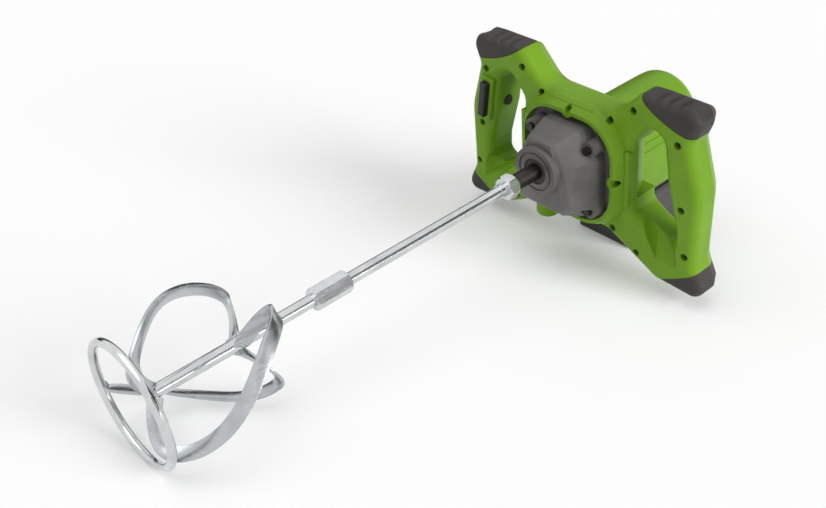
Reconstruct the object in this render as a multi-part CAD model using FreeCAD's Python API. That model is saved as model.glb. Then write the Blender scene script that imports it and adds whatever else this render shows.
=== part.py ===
# Hand held mixing drill: two-handled body, two-stage gearbox, battery pack and a three-bladed paddle.
# Lengths are millimetres. The spindle runs along Y through x = 0, z = 0, and y = 0 is the nose boss face.
# +X points to the handle without the trigger, -Y to the paddle, +Z up along the grips.
import FreeCAD
import Part
import math
import os

Vector = FreeCAD.Vector
AXIS_X = Vector(1, 0, 0)
AXIS_Y = Vector(0, 1, 0)
AXIS_Z = Vector(0, 0, 1)

# Fits shared by every piece
RUN_GAP = 0.05
SLIDE_GAP = 0.35
SEAT_GAP = 0.02

# Paddle
HOOP_OUTER_R = 60.0
HOOP_WIRE_R = 4.0
HOOP_Y = -459.0
BLADE_COUNT = 3
BLADE_WIDTH = 13.0
BLADE_THICK = 3.0
BLADE_START_ANGLE = 45.0
BLADE_SECTIONS = 16
# Radius, turn and y of a blade's middle line, from its weld on the rod to its weld on the hoop
BLADE_STATIONS = [(6.0, 0.0, -359.0), (44.0, 1.5, -339.0), (60.0, -4.0, -347.0), (62.0, -31.0, -377.0),
                  (60.0, -73.0, -435.0), (54.0, -98.0, -456.0)]
ROD_R = 6.0
LOWER_ROD_END_Y = -438.0
COUPLING_FLATS = 19.0
COUPLING_FRONT_Y = -280.0
COUPLING_LENGTH = 39.0
ROD_GAP = 4.0
NUT_FLATS = 22.0
NUT_LENGTH = 12.0
THREAD_R = 7.0
THREAD_DEPTH = 22.0

# Spindle and its bearings
SPINDLE_R = 8.5
SPINDLE_REACH = 32.0
SPINDLE_TAIL_R = 5.0
SHOULDER_R = 10.0
FRONT_BEARING_R = 20.0
FRONT_BEARING_Y = 5.0
FRONT_BEARING_WIDTH = 12.0
REAR_BEARING_R = 13.0
REAR_BEARING_WIDTH = 8.0
SEAL_R = 14.0
SEAL_WIDTH = 4.0

# Gears: teeth, modules and face widths
PINION_TEETH = 9
WHEEL_TEETH = 35
LAY_PINION_TEETH = 10
OUTPUT_TEETH = 30
FIRST_MODULE = 1.0
SECOND_MODULE = 1.5
PRESSURE_ANGLE = 25.0
ADDENDUM = 0.85
DEDENDUM = 1.15
TOOTH_PLAY = 0.16
FLANK_STEPS = 3
OUTPUT_GEAR_Y = 22.0
OUTPUT_GEAR_WIDTH = 9.0
WHEEL_WIDTH = 9.0
LAYSHAFT_R = 5.0
LAY_JOURNAL_R = 4.0
LAY_BUSH_R = 6.0
LAY_BUSH_LENGTH = 7.0
MOTOR_AXIS_Z = -12.0
FACE_GAP = 1.5

# Gear case
BOSS_R = 26.0
BOSS_LENGTH = 10.0
BOSS_ROOT = 10.0
BOSS_FLARE = 3.0
BOSS_GROOVE_R = 20.0
CASE_FLANGE_Y = 38.0
CASE_REAR_Y = 55.0
CASE_WALL = 3.5
LUG_R = 8.0
LUG_RISE = 2.0
CASE_SCREW_R = 2.5
CASE_HEAD_R = 4.5
CASE_HEAD_LENGTH = 4.0
PLATE_THICK = 6.0

# Body housing, made in a front and a rear half
BODY_Z = -12.0
BODY_FRONT_Y = 59.0
BODY_DEPTH = 40.0
BODY_WALL = 3.0
EDGE_R = 10.0
REAR_TAPER = 8.0
TAPER_DELAY = 6.0
REAR_EDGE_R = 3.0
RECESS_FLOOR = 4.3
RELIEF_X = 57.0
COLLAR_FRONT_Y = 46.0
COLLAR_HALF = 57.0
COLLAR_CORNER_R = 38.0
COLLAR_LIP = 4.0
COLLAR_ROOT = 10.5
MOTOR_BORE_GAP = 0.3
SCREW_R = 2.0
SCREW_HEAD_R = 3.6
SCREW_SINK = 7.0
SCREW_BITE = 9.0
SCREW_BOSS_R = 6.0
BUMPER_WALL = 6.0
GROOVE_R = 2.6
GROOVE_PLACES = [88.0, 99.0, 110.0, 121.0]
THUMB_R = 16.0
THUMB_X = 136.0
THUMB_DEPTH = 2.0
COLLAR_BOSS_R = 7.5
HUB_LENGTH = 6.0

# Motor, its housing and the rear cap
MOTOR_R = 43.0
MOTOR_WALL = 3.0
MOTOR_FLANGE_R = 52.0
MOTOR_FLANGE_THICK = 5.0
CAP_SEAM_Y = 180.0
CAP_LENGTH = 32.0
CAP_ROUND_R = 12.0
CAP_FOOT_LENGTH = 20.0
FOOT_HALF = 40.0
FOOT_Z = -75.0
FOOT_FRONT_Y = 106.0
STATOR_BORE_R = 23.0
STATOR_FRONT_Y = 98.0
STATOR_LENGTH = 46.0
STATOR_TEETH = 6
REAR_BEARING_SPACE = 16.0
AIR_GAP = 0.6
MOTOR_SHAFT_R = 4.0
PINION_BORE_R = 2.0
MOTOR_BEARING_R = 11.0
MOTOR_BEARING_WIDTH = 7.0
BOARD_R = 36.0
BOARD_Y = 183.0
BOARD_THICK = 1.6
POST_R = 3.5
POST_REACH = 30.0
POST_COUNT = 3
CHIP_SIZE = 8.0
CHIP_PITCH = 16.0
CHIP_ROW = 12.0
WEB_WINDOWS = 6
WEB_WINDOW_R = 9.0
FOOT_CORNER_R = 9.0
CAP_SLOTS = 7
CAP_SLOT_PITCH = 7.0
CAP_SLOT_HALF = 20.0
STATOR_YOKE = 6.0
TOOTH_WIDTH = 10.0
COIL_INSET = 1.5
COIL_THICK = 4.0
FAN_PLATE = 2.0
FAN_R = 36.0
FAN_BLADES = 11
FAN_WIDTH = 9.0

# Battery pack on its rail
PACK_HALF = 38.0
PACK_FRONT_Y = 110.0
PACK_LENGTH = 115.0
PACK_TOP_Z = -80.0
PACK_SEAM_Z = -128.0
PACK_BASE_Z = -136.0
PACK_WALL = 2.5
RAIL_NECK_HALF = 18.0
RAIL_HEAD_HALF = 23.0
RAIL_STEP = 4.0
CELL_R = 9.0
CELL_LENGTH = 65.0
CELL_GAP = 0.5
PACK_CORNER_R = 6.0
SHOE_HALF = 34.0
SHOE_TAIL = 10.0
TERMINAL_LENGTH = 12.0
TERMINAL_THICK = 1.0
TERMINAL_DROP = 6.0
TERMINAL_PITCH = 10.0
LATCH_HALF = 14.0
LATCH_LENGTH = 17.0
LATCH_DEPTH = 9.0
LATCH_PROUD = 1.6
LATCH_TRAVEL = 3.5
LATCH_GAP = 4.0

# Trigger, lock button and switch in the left grip
GRIP_TILT = 8.8
TRIGGER_X = -123.5
TRIGGER_Z = 17.0
TRIGGER_WIDTH = 9.0
TRIGGER_HEIGHT = 41.0
TRIGGER_PROUD = 7.0
TRIGGER_TRAVEL = 6.0
TRIGGER_BOSS_Y = 55.0
LOCK_R = 5.8
LOCK_Y = 78.0
LOCK_Z = 10.0
LOCK_PROUD = 2.2
LOCK_TRAVEL = 3.0
LOCK_LIP = 1.8
TRIGGER_LIP = 2.0
SWITCH_WIDTH = 11.0
SWITCH_HEIGHT = 44.0

# Stub under the left of the collar
STUB_R = 12.5
STUB_X = -43.0
STUB_Y = 66.0
STUB_END_Z = -100.0

# Outlines of the right-hand half as corners (x, z, corner radius), clockwise from the top
BODY_CORNERS = [
    (46.0, 56.0, 22.0),
    (76.0, 87.0, 14.0),
    (151.0, 87.0, 14.0),
    (137.0, 52.0, 12.0),
    (152.0, 0.0, 60.0),
    (151.0, -78.0, 25.0),
    (169.0, -116.0, 12.0),
    (106.0, -113.0, 14.0),
    (44.0, -81.0, 18.0),
]
GRIP_HOLE = [
    (73.0, 33.0, 12.0),
    (92.0, 56.0, 10.0),
    (106.0, 47.0, 12.0),
    (113.0, 4.0, 40.0),
    (126.0, -42.0, 14.0),
    (127.0, -62.0, 9.0),
    (116.0, -69.0, 8.0),
    (74.0, -45.0, 12.0),
]
UPPER_BORDER = [(68.0, 93.0), (112.0, 66.0), (165.0, 60.0)]
LOWER_BORDER = [(96.0, -118.0), (128.0, -101.0), (175.0, -72.0)]
BODY_SCREWS = [(72.0, 68.5), (45.0, 48.5), (124.5, 50.5), (133.5, -17.5), (141.0, -68.5), (83.3, -90.3),
               (52.0, -74.0)]
RECESS_FRONT = [(77.0, -37.0), (108.0, -86.0), (133.0, -86.0), (130.0, -56.0)]
RECESS_BACK = [(75.0, -44.0), (98.0, -59.0), (116.0, -70.0), (127.0, -62.0)]
CASE_FACE = [(12.7, 28.0), (19.5, -1.5), (28.0, -38.0), (20.0, -44.0)]
CASE_FLANGE = [(22.0, 36.0), (43.0, 7.0), (43.0, -46.0), (30.0, -57.0)]
CASE_LUGS = [(37.5, 22.5), (39.6, -48.3)]

# Places worked out from the sizes above
BODY_REAR_Y = BODY_FRONT_Y + BODY_DEPTH
SEAM_Y = BODY_FRONT_Y + BODY_DEPTH / 2
CASE_FACE_Y = BOSS_LENGTH
FIRST_CENTRES = FIRST_MODULE * (PINION_TEETH + WHEEL_TEETH) / 2
OUTPUT_TIP_R = SECOND_MODULE * (OUTPUT_TEETH / 2 + ADDENDUM)
LAY_PINION_TIP_R = SECOND_MODULE * (LAY_PINION_TEETH / 2 + ADDENDUM)
SECOND_CENTRES = SECOND_MODULE * (LAY_PINION_TEETH + OUTPUT_TEETH) / 2
LAY_Z = (FIRST_CENTRES ** 2 - SECOND_CENTRES ** 2 - MOTOR_AXIS_Z ** 2) / (-2 * MOTOR_AXIS_Z)
LAY_X = -math.sqrt(SECOND_CENTRES ** 2 - LAY_Z ** 2)
MID_PLATE_Y = OUTPUT_GEAR_Y + OUTPUT_GEAR_WIDTH + FACE_GAP
MID_PLATE_END_Y = MID_PLATE_Y + REAR_BEARING_WIDTH
WHEEL_Y = MID_PLATE_END_Y + FACE_GAP
WHEEL_END_Y = WHEEL_Y + WHEEL_WIDTH
MOTOR_PLATE_END_Y = CASE_REAR_Y + PLATE_THICK
FRONT_MOTOR_BEARING_Y = CASE_REAR_Y + FACE_GAP
FAN_Y = MOTOR_PLATE_END_Y + MOTOR_BEARING_WIDTH
STATOR_END_Y = STATOR_FRONT_Y + STATOR_LENGTH
REAR_MOTOR_BEARING_Y = STATOR_END_Y + REAR_BEARING_SPACE
SPINDLE_END_Y = -SPINDLE_REACH
NUT_Y = SPINDLE_END_Y - NUT_LENGTH
COUPLING_END_Y = COUPLING_FRONT_Y + COUPLING_LENGTH
COUPLING_MID_Y = COUPLING_FRONT_Y + COUPLING_LENGTH / 2
PACK_REAR_Y = PACK_FRONT_Y + PACK_LENGTH
CAP_REAR_Y = CAP_SEAM_Y + CAP_LENGTH
LOCK_ROOM = LOCK_LIP + LOCK_TRAVEL + 2 * FACE_GAP
LUG_Y = CASE_FLANGE_Y - LUG_RISE
SCREW_END_Y = SEAM_Y + SCREW_BITE
CAP_FOOT_Y = CAP_SEAM_Y + CAP_FOOT_LENGTH
STATOR_R = MOTOR_R - MOTOR_WALL - SEAT_GAP
MOTOR_FRONT_Y = BODY_REAR_Y - BODY_WALL - MOTOR_FLANGE_THICK
REAR_BEARING_END_Y = REAR_MOTOR_BEARING_Y + MOTOR_BEARING_WIDTH


def cylinder(radius, start_y, end_y, x=0.0, z=0.0):
    return Part.makeCylinder(radius, end_y - start_y, Vector(x, start_y, z), AXIS_Y)


def tube(outer, inner, start_y, end_y, x=0.0, z=0.0):
    return cylinder(outer, start_y, end_y, x, z).cut(cylinder(inner, start_y, end_y, x, z))


def box(low_x, high_x, low_y, high_y, low_z, high_z):
    return Part.makeBox(high_x - low_x, high_y - low_y, high_z - low_z, Vector(low_x, low_y, low_z))


def fuse(shapes):
    return shapes[0].multiFuse(shapes[1:]).removeSplitter()


def mirrored(shape):
    return shape.mirror(Vector(0, 0, 0), AXIS_X)


def both_sides(corners):
    """Close a right-hand list of corners with its mirror image."""
    return corners + [(-corner[0],) + tuple(corner[1:]) for corner in reversed(corners)]


def directions(corners, index):
    """Unit directions into and out of one corner of a closed outline."""
    before = corners[index - 1]
    here = corners[index]
    after = corners[(index + 1) % len(corners)]
    into = Vector(here[0] - before[0], 0, here[1] - before[1]).normalize()
    out = Vector(after[0] - here[0], 0, after[1] - here[1]).normalize()
    return into, out


def inset(corners, distance):
    """Move a clockwise outline inwards, keeping its rounded corners concentric."""
    moved = []
    for index, (x, z, radius) in enumerate(corners):
        into, out = directions(corners, index)
        side_in = Vector(into.z, 0, -into.x)
        side_out = Vector(out.z, 0, -out.x)
        shift = (side_in + side_out) * (distance / (1 + side_in.dot(side_out)))
        right_turn = into.z * out.x - into.x * out.z
        rounded = radius - distance if right_turn > 0 else radius + distance
        moved.append((x + shift.x, z + shift.z, max(rounded, 0.5)))
    return moved


def outline(corners, y):
    """Closed wire of lines and tangent arcs through rounded corners at one y."""
    starts = []
    ends = []
    edges = []
    for index, (x, z, radius) in enumerate(corners):
        into, out = directions(corners, index)
        corner = Vector(x, y, z)
        half_turn = into.getAngle(out) / 2
        reach = radius * math.tan(half_turn)
        start = corner - into * reach
        end = corner + out * reach
        middle_way = (out - into).normalize()
        middle = corner + middle_way * (radius / math.cos(half_turn) - radius)
        starts.append(start)
        ends.append(end)
        edges.append(Part.Arc(start, middle, end).toShape())
    for index in range(len(corners)):
        edges.append(Part.LineSegment(ends[index - 1], starts[index]).toShape())
    return Part.Wire(Part.__sortEdges__(edges))


def prism(corners, start_y, end_y):
    return Part.Face(outline(corners, start_y)).extrude(AXIS_Y * (end_y - start_y))


def polygon(points, y):
    return Part.makePolygon([Vector(x, y, z) for x, z in points + points[:1]])


def hexagon(flats, start_y, end_y):
    corner_r = flats / math.sqrt(3)
    points = [(corner_r * math.cos(math.radians(60 * k)), corner_r * math.sin(math.radians(60 * k)))
              for k in range(6)]
    blank = Part.Face(polygon(points, start_y)).extrude(AXIS_Y * (end_y - start_y))
    bevel = corner_r - flats / 2
    reach = corner_r + bevel
    rounded = Part.makeCone(flats / 2, flats / 2 + reach, reach, Vector(0, start_y, 0), AXIS_Y)
    turned = Part.makeCone(flats / 2, flats / 2 + reach, reach, Vector(0, end_y, 0), AXIS_Y * -1)
    return blank.common(rounded.fuse(cylinder(corner_r + reach, start_y + reach / 2, end_y))).common(
        turned.fuse(cylinder(corner_r + reach, start_y, end_y - reach / 2)))


def rounded_square(half, corner_r):
    """Corners of a square centred on the body axis, clockwise."""
    return [(half, BODY_Z + half, corner_r), (half, BODY_Z - half, corner_r),
            (-half, BODY_Z - half, corner_r), (-half, BODY_Z + half, corner_r)]


def gear(teeth, module, width, start_y, x, z, bore, mesh_angle, tooth_there):
    """Involute spur gear with a tooth, or a gap, centred on the mesh angle."""
    pitch_r = teeth * module / 2
    tip_r = pitch_r + ADDENDUM * module
    root_r = pitch_r - DEDENDUM * module
    base_r = pitch_r * math.cos(math.radians(PRESSURE_ANGLE))
    low_r = max(base_r, root_r)
    half_tooth = math.pi / (2 * teeth) - TOOTH_PLAY / (2 * pitch_r)

    def involute(radius):
        slope = math.acos(min(1.0, base_r / radius))
        return math.tan(slope) - slope

    flank = []
    if root_r < base_r:
        flank.append((root_r, half_tooth + involute(pitch_r)))
    for step in range(FLANK_STEPS + 1):
        radius = low_r + (tip_r - low_r) * step / FLANK_STEPS
        flank.append((radius, half_tooth + involute(pitch_r) - involute(radius)))
    first = math.radians(mesh_angle) + (0 if tooth_there else math.pi / teeth)
    points = []
    for tooth in range(teeth):
        middle = first + 2 * math.pi * tooth / teeth
        both = [(r, middle - a) for r, a in flank] + [(r, middle + a) for r, a in reversed(flank)]
        points += [(x + r * math.cos(a), z + r * math.sin(a)) for r, a in both]
    blank = Part.Face(polygon(points, start_y)).extrude(AXIS_Y * width)
    return blank.cut(cylinder(bore, start_y, start_y + width, x, z))


def angle_between(from_x, from_z, to_x, to_z):
    return math.degrees(math.atan2(to_z - from_z, to_x - from_x))


def tilted(shape):
    """Lean a piece of the left grip to the grip's own line."""
    leaning = shape.copy()
    leaning.rotate(Vector(TRIGGER_X, 0, TRIGGER_Z), AXIS_Y, GRIP_TILT)
    return leaning


# Paddle pieces

def make_hoop():
    return Part.makeTorus(HOOP_OUTER_R - HOOP_WIRE_R, HOOP_WIRE_R, Vector(0, HOOP_Y, 0), AXIS_Y)


def blade_point(share, start_angle):
    """Point and angle on a blade's middle line, curved smoothly through its stations."""
    last = len(BLADE_STATIONS) - 1
    index = min(int(share * last), last - 1)
    part = share * last - index
    here = BLADE_STATIONS[index]
    after = BLADE_STATIONS[index + 1]
    before = BLADE_STATIONS[index - 1] if index else here
    beyond = BLADE_STATIONS[min(index + 2, last)]
    values = []
    for a, b, c, d in zip(before, here, after, beyond):
        bend = (-a + c) * part + (2 * a - 5 * b + 4 * c - d) * part ** 2 + (3 * b - a - 3 * c + d) * part ** 3
        values.append(b + bend / 2)
    angle = math.radians(start_angle + values[1])
    return Vector(values[0] * math.cos(angle), values[2], values[0] * math.sin(angle)), angle


def make_blade(start_angle):
    """Bent flat strip, cut to sit on the rod and on the hoop where it is welded."""
    sections = []
    reach = 1.0 / BLADE_SECTIONS / 4
    for step in range(BLADE_SECTIONS + 1):
        share = step / BLADE_SECTIONS
        centre, angle = blade_point(share, start_angle)
        ahead = blade_point(min(1.0, share + reach), start_angle)[0] - blade_point(max(0.0, share - reach),
                                                                                  start_angle)[0]
        ahead.normalize()
        around = Vector(-math.sin(angle), 0, math.cos(angle))
        wide = (around - ahead * around.dot(ahead)).normalize() * (BLADE_WIDTH / 2)
        thick = ahead.cross(wide).normalize() * (BLADE_THICK / 2)
        corners = [centre + wide + thick, centre - wide + thick, centre - wide - thick, centre + wide - thick]
        sections.append(Part.makePolygon(corners + corners[:1]))
    strip = Part.makeLoft(sections, True, True)
    weld_hoop = Part.makeTorus(HOOP_OUTER_R - HOOP_WIRE_R, HOOP_WIRE_R + SEAT_GAP, Vector(0, HOOP_Y, 0), AXIS_Y)
    weld_rod = cylinder(ROD_R + SEAT_GAP, LOWER_ROD_END_Y, COUPLING_FRONT_Y)
    pieces = strip.cut(weld_rod).cut(weld_hoop).Solids
    return max(pieces, key=lambda piece: piece.Volume)


def make_lower_rod():
    return cylinder(ROD_R, LOWER_ROD_END_Y, COUPLING_MID_Y - ROD_GAP / 2)


def make_coupling():
    return hexagon(COUPLING_FLATS, COUPLING_FRONT_Y, COUPLING_END_Y).cut(
        cylinder(ROD_R + SEAT_GAP, COUPLING_FRONT_Y, COUPLING_END_Y))


def make_upper_rod():
    plain = cylinder(ROD_R, COUPLING_MID_Y + ROD_GAP / 2, NUT_Y)
    return fuse([plain, cylinder(THREAD_R, NUT_Y - THREAD_R, SPINDLE_END_Y + THREAD_DEPTH)])


def make_lock_nut():
    return hexagon(NUT_FLATS, NUT_Y, SPINDLE_END_Y).cut(cylinder(THREAD_R + SEAT_GAP, NUT_Y, SPINDLE_END_Y))


# Gearbox pieces

def make_spindle():
    solid = fuse([
        cylinder(SPINDLE_R - RUN_GAP, SPINDLE_END_Y, FRONT_BEARING_Y + FRONT_BEARING_WIDTH),
        cylinder(SHOULDER_R, FRONT_BEARING_Y + FRONT_BEARING_WIDTH, OUTPUT_GEAR_Y),
        cylinder(SPINDLE_R, OUTPUT_GEAR_Y, OUTPUT_GEAR_Y + OUTPUT_GEAR_WIDTH),
        cylinder(SPINDLE_TAIL_R - RUN_GAP, OUTPUT_GEAR_Y, MID_PLATE_END_Y - FACE_GAP),
    ])
    socket_end = SPINDLE_END_Y + THREAD_DEPTH + FACE_GAP
    return solid.cut(cylinder(THREAD_R + SEAT_GAP, SPINDLE_END_Y, socket_end))


def make_output_gear():
    mesh = angle_between(0, 0, LAY_X, LAY_Z)
    return gear(OUTPUT_TEETH, SECOND_MODULE, OUTPUT_GEAR_WIDTH, OUTPUT_GEAR_Y, 0, 0, SPINDLE_R, mesh, False)


def make_lay_pinion():
    mesh = angle_between(LAY_X, LAY_Z, 0, 0)
    return gear(LAY_PINION_TEETH, SECOND_MODULE, OUTPUT_GEAR_WIDTH, OUTPUT_GEAR_Y, LAY_X, LAY_Z, LAYSHAFT_R,
                mesh, True)


def make_lay_wheel():
    mesh = angle_between(LAY_X, LAY_Z, 0, MOTOR_AXIS_Z)
    return gear(WHEEL_TEETH, FIRST_MODULE, WHEEL_WIDTH, WHEEL_Y, LAY_X, LAY_Z, LAYSHAFT_R, mesh, False)


def make_motor_pinion():
    mesh = angle_between(0, MOTOR_AXIS_Z, LAY_X, LAY_Z)
    pinion = gear(PINION_TEETH, FIRST_MODULE, WHEEL_WIDTH, WHEEL_Y, 0, MOTOR_AXIS_Z, PINION_BORE_R, mesh, True)
    return pinion


def make_layshaft():
    return fuse([
        cylinder(LAYSHAFT_R, OUTPUT_GEAR_Y - FACE_GAP / 2, WHEEL_END_Y, LAY_X, LAY_Z),
        cylinder(LAY_JOURNAL_R - RUN_GAP, lay_bush_start(), MOTOR_PLATE_END_Y - FACE_GAP, LAY_X, LAY_Z),
    ])


def lay_bush_start():
    return OUTPUT_GEAR_Y - FACE_GAP - LAY_BUSH_LENGTH


def make_lay_bushes():
    front = lay_bush_start()
    rear = CASE_REAR_Y
    return Part.makeCompound([
        tube(LAY_BUSH_R, LAY_JOURNAL_R, front, front + LAY_BUSH_LENGTH, LAY_X, LAY_Z),
        tube(LAY_BUSH_R, LAY_JOURNAL_R, rear, MOTOR_PLATE_END_Y, LAY_X, LAY_Z),
    ])


def make_front_bearing():
    return tube(FRONT_BEARING_R, SPINDLE_R, FRONT_BEARING_Y, FRONT_BEARING_Y + FRONT_BEARING_WIDTH)


def make_rear_bearing():
    return tube(REAR_BEARING_R, SPINDLE_TAIL_R, MID_PLATE_Y, MID_PLATE_END_Y)


def make_seal():
    return tube(SEAL_R, SPINDLE_R + RUN_GAP, FRONT_BEARING_Y - SEAL_WIDTH, FRONT_BEARING_Y)


def case_section(points, y, inwards):
    flat = [(x, z, 0.0) for x, z in both_sides(points)]
    return polygon([(x, z) for x, z, radius in inset(flat, inwards)], y)


def case_loft(inwards, face_y):
    """Tapered case from its front face to its flange, then straight to the rear."""
    taper = Part.makeLoft([case_section(CASE_FACE, face_y, inwards),
                           case_section(CASE_FLANGE, CASE_FLANGE_Y, inwards)], True, True)
    straight = Part.Face(case_section(CASE_FLANGE, CASE_FLANGE_Y, inwards)).extrude(
        AXIS_Y * (CASE_REAR_Y - CASE_FLANGE_Y))
    return taper.fuse(straight)


def lug_places():
    return CASE_LUGS + [(-x, z) for x, z in CASE_LUGS]


def make_gear_case():
    lugs = [cylinder(LUG_R, LUG_Y, CASE_REAR_Y, x, z) for x, z in lug_places()]
    root = Part.makeCone(BOSS_R, BOSS_R + BOSS_FLARE, BOSS_ROOT, Vector(0, BOSS_LENGTH, 0), AXIS_Y)
    outside = fuse([case_loft(0.0, CASE_FACE_Y), cylinder(BOSS_R, 0, BOSS_LENGTH), root] + lugs)
    hollow = case_loft(CASE_WALL, CASE_FACE_Y + CASE_WALL)
    seat = cylinder(FRONT_BEARING_R + CASE_WALL, 0, FRONT_BEARING_Y + FRONT_BEARING_WIDTH)
    bush_end = lay_bush_start() + LAY_BUSH_LENGTH
    bush_seat = cylinder(LAY_BUSH_R + CASE_WALL, CASE_FACE_Y, bush_end, LAY_X, LAY_Z)
    solid = outside.cut(hollow.cut(seat.fuse(bush_seat)))
    bores = [
        cylinder(SPINDLE_R + FACE_GAP, 0, FRONT_BEARING_Y),
        cylinder(SEAL_R, 0, FRONT_BEARING_Y),
        cylinder(FRONT_BEARING_R, FRONT_BEARING_Y, FRONT_BEARING_Y + FRONT_BEARING_WIDTH),
        cylinder(SHOULDER_R + FACE_GAP, 0, OUTPUT_GEAR_Y),
        cylinder(OUTPUT_TIP_R + FACE_GAP, OUTPUT_GEAR_Y - FACE_GAP, MID_PLATE_Y),
        cylinder(LAY_PINION_TIP_R + FACE_GAP, OUTPUT_GEAR_Y - FACE_GAP, MID_PLATE_Y, LAY_X, LAY_Z),
        cylinder(LAY_BUSH_R, lay_bush_start(), bush_end, LAY_X, LAY_Z),
        tube(BOSS_GROOVE_R + 1.0, BOSS_GROOVE_R - 1.0, 0, 1.2),
    ]
    bores += [cylinder(CASE_SCREW_R, LUG_Y, CASE_REAR_Y, x, z) for x, z in lug_places()]
    bores += [cylinder(CASE_HEAD_R + SLIDE_GAP, CASE_FACE_Y, LUG_Y, x, z) for x, z in lug_places()]
    return solid.cut(fuse(bores))


def make_gear_plate():
    """Plate between the two gear stages that carries the spindle's tail bearing."""
    slab = box(-BODY_DEPTH * 2, BODY_DEPTH * 2, MID_PLATE_Y, MID_PLATE_END_Y, -BODY_DEPTH * 2, BODY_DEPTH * 2)
    plate = case_loft(CASE_WALL + SEAT_GAP, CASE_FACE_Y + CASE_WALL).common(slab)
    holes = fuse([cylinder(REAR_BEARING_R, MID_PLATE_Y, MID_PLATE_END_Y),
                  cylinder(LAYSHAFT_R + FACE_GAP, MID_PLATE_Y, MID_PLATE_END_Y, LAY_X, LAY_Z)])
    return plate.cut(holes)


def collar_screw_places():
    reach = COLLAR_HALF + COLLAR_LIP
    return [(0.0, BODY_Z + reach), (reach, BODY_Z), (0.0, BODY_Z - reach), (-reach, BODY_Z)]


def make_motor_plate():
    """Plate that closes the gear case and carries the motor's front bearing."""
    gap = SLIDE_GAP
    plate = prism(rounded_square(COLLAR_HALF - gap, COLLAR_CORNER_R - gap), CASE_REAR_Y, MOTOR_PLATE_END_Y)
    bearing_end = FRONT_MOTOR_BEARING_Y + MOTOR_BEARING_WIDTH
    boss = cylinder(MOTOR_BEARING_R + BODY_WALL, CASE_REAR_Y, bearing_end, 0, MOTOR_AXIS_Z)
    holes = [
        cylinder(MOTOR_BEARING_R, FRONT_MOTOR_BEARING_Y, bearing_end, 0, MOTOR_AXIS_Z),
        cylinder(MOTOR_SHAFT_R + FACE_GAP, CASE_REAR_Y, bearing_end, 0, MOTOR_AXIS_Z),
        cylinder(LAY_BUSH_R, CASE_REAR_Y, MOTOR_PLATE_END_Y, LAY_X, LAY_Z),
    ]
    holes += [cylinder(COLLAR_BOSS_R + gap, CASE_REAR_Y, bearing_end, x, z) for x, z in collar_screw_places()]
    holes += [cylinder(CASE_SCREW_R, CASE_REAR_Y, bearing_end, x, z) for x, z in lug_places()]
    return plate.fuse(boss).cut(fuse(holes))


def make_case_screws():
    screws = []
    for x, z in lug_places():
        head = cylinder(CASE_HEAD_R, LUG_Y - CASE_HEAD_LENGTH, LUG_Y, x, z)
        screws.append(head.fuse(cylinder(CASE_SCREW_R, LUG_Y, MOTOR_PLATE_END_Y, x, z)))
    return Part.makeCompound(screws)


# Body housing and bumpers

def tapered(corners, inwards, start_y, end_y):
    """Straight to the seam, then drawn in towards the rear."""
    taper_y = SEAM_Y + TAPER_DELAY
    straight = prism(inset(corners, inwards), start_y, taper_y)
    rear_inset = inwards + REAR_TAPER * (end_y - taper_y) / (BODY_REAR_Y - taper_y)
    taper = Part.makeLoft([outline(inset(corners, inwards), taper_y), outline(inset(corners, rear_inset), end_y)],
                          True, True)
    return straight.fuse(taper)


def holes_both_sides(outwards, start_y, end_y):
    hole = prism(inset(GRIP_HOLE, -outwards), start_y, end_y)
    return hole.fuse(mirrored(hole))


def body_block():
    """Whole outside of the two-handled body, with both grip openings and rounded front edges."""
    block = tapered(both_sides(BODY_CORNERS), 0.0, BODY_FRONT_Y, BODY_REAR_Y)
    block = block.cut(holes_both_sides(0.0, BODY_FRONT_Y, BODY_REAR_Y))
    front_rims = [edge for edge in block.Edges if edge.BoundBox.YMax < BODY_FRONT_Y + 0.01]
    block = block.makeFillet(EDGE_R, front_rims)
    rear_rims = [edge for edge in block.Edges if edge.BoundBox.YMin > BODY_REAR_Y - 0.01]
    block = block.makeFillet(REAR_EDGE_R, rear_rims)
    return block.cut(ring_relief(0.0)).cut(mirrored(ring_relief(0.0)))


def ring_relief(extra):
    """Slope that draws the ring in towards the motor behind the inner edge of a grip opening."""
    edge_x = GRIP_HOLE[0][0] - extra
    low_z = GRIP_HOLE[-1][1] + GRIP_HOLE[-1][2] - extra
    start_y = BODY_FRONT_Y + EDGE_R - extra
    end_y = BODY_REAR_Y + extra
    corners = [(edge_x, start_y), (RELIEF_X - extra, end_y), (edge_x + EDGE_R, end_y), (edge_x + EDGE_R, start_y)]
    points = [Vector(x, y, low_z) for x, y in corners]
    height = GRIP_HOLE[0][1] + extra - low_z
    return Part.Face(Part.makePolygon(points + points[:1])).extrude(AXIS_Z * height)


def border_region(border, far_z):
    """Everything of the right handle beyond a bumper's border line."""
    start, middle, end = [Vector(x, BODY_FRONT_Y - BODY_DEPTH, z) for x, z in border]
    far_end = Vector(end.x, end.y, far_z)
    far_start = Vector(start.x, start.y, far_z)
    edges = [Part.Arc(start, middle, end).toShape(), Part.makeLine(end, far_end),
             Part.makeLine(far_end, far_start), Part.makeLine(far_start, start)]
    return Part.Face(Part.Wire(edges)).extrude(AXIS_Y * BODY_DEPTH * 3)


def upper_region():
    return border_region(UPPER_BORDER, max(corner[1] for corner in BODY_CORNERS) + BODY_DEPTH)


def lower_region():
    return border_region(LOWER_BORDER, min(corner[1] for corner in BODY_CORNERS) - BODY_DEPTH)


def bumper_core():
    """Part of the handles that runs on inside the bumpers."""
    return tapered(both_sides(BODY_CORNERS), BUMPER_WALL, BODY_FRONT_Y + BUMPER_WALL, BODY_REAR_Y - BUMPER_WALL)


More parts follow.
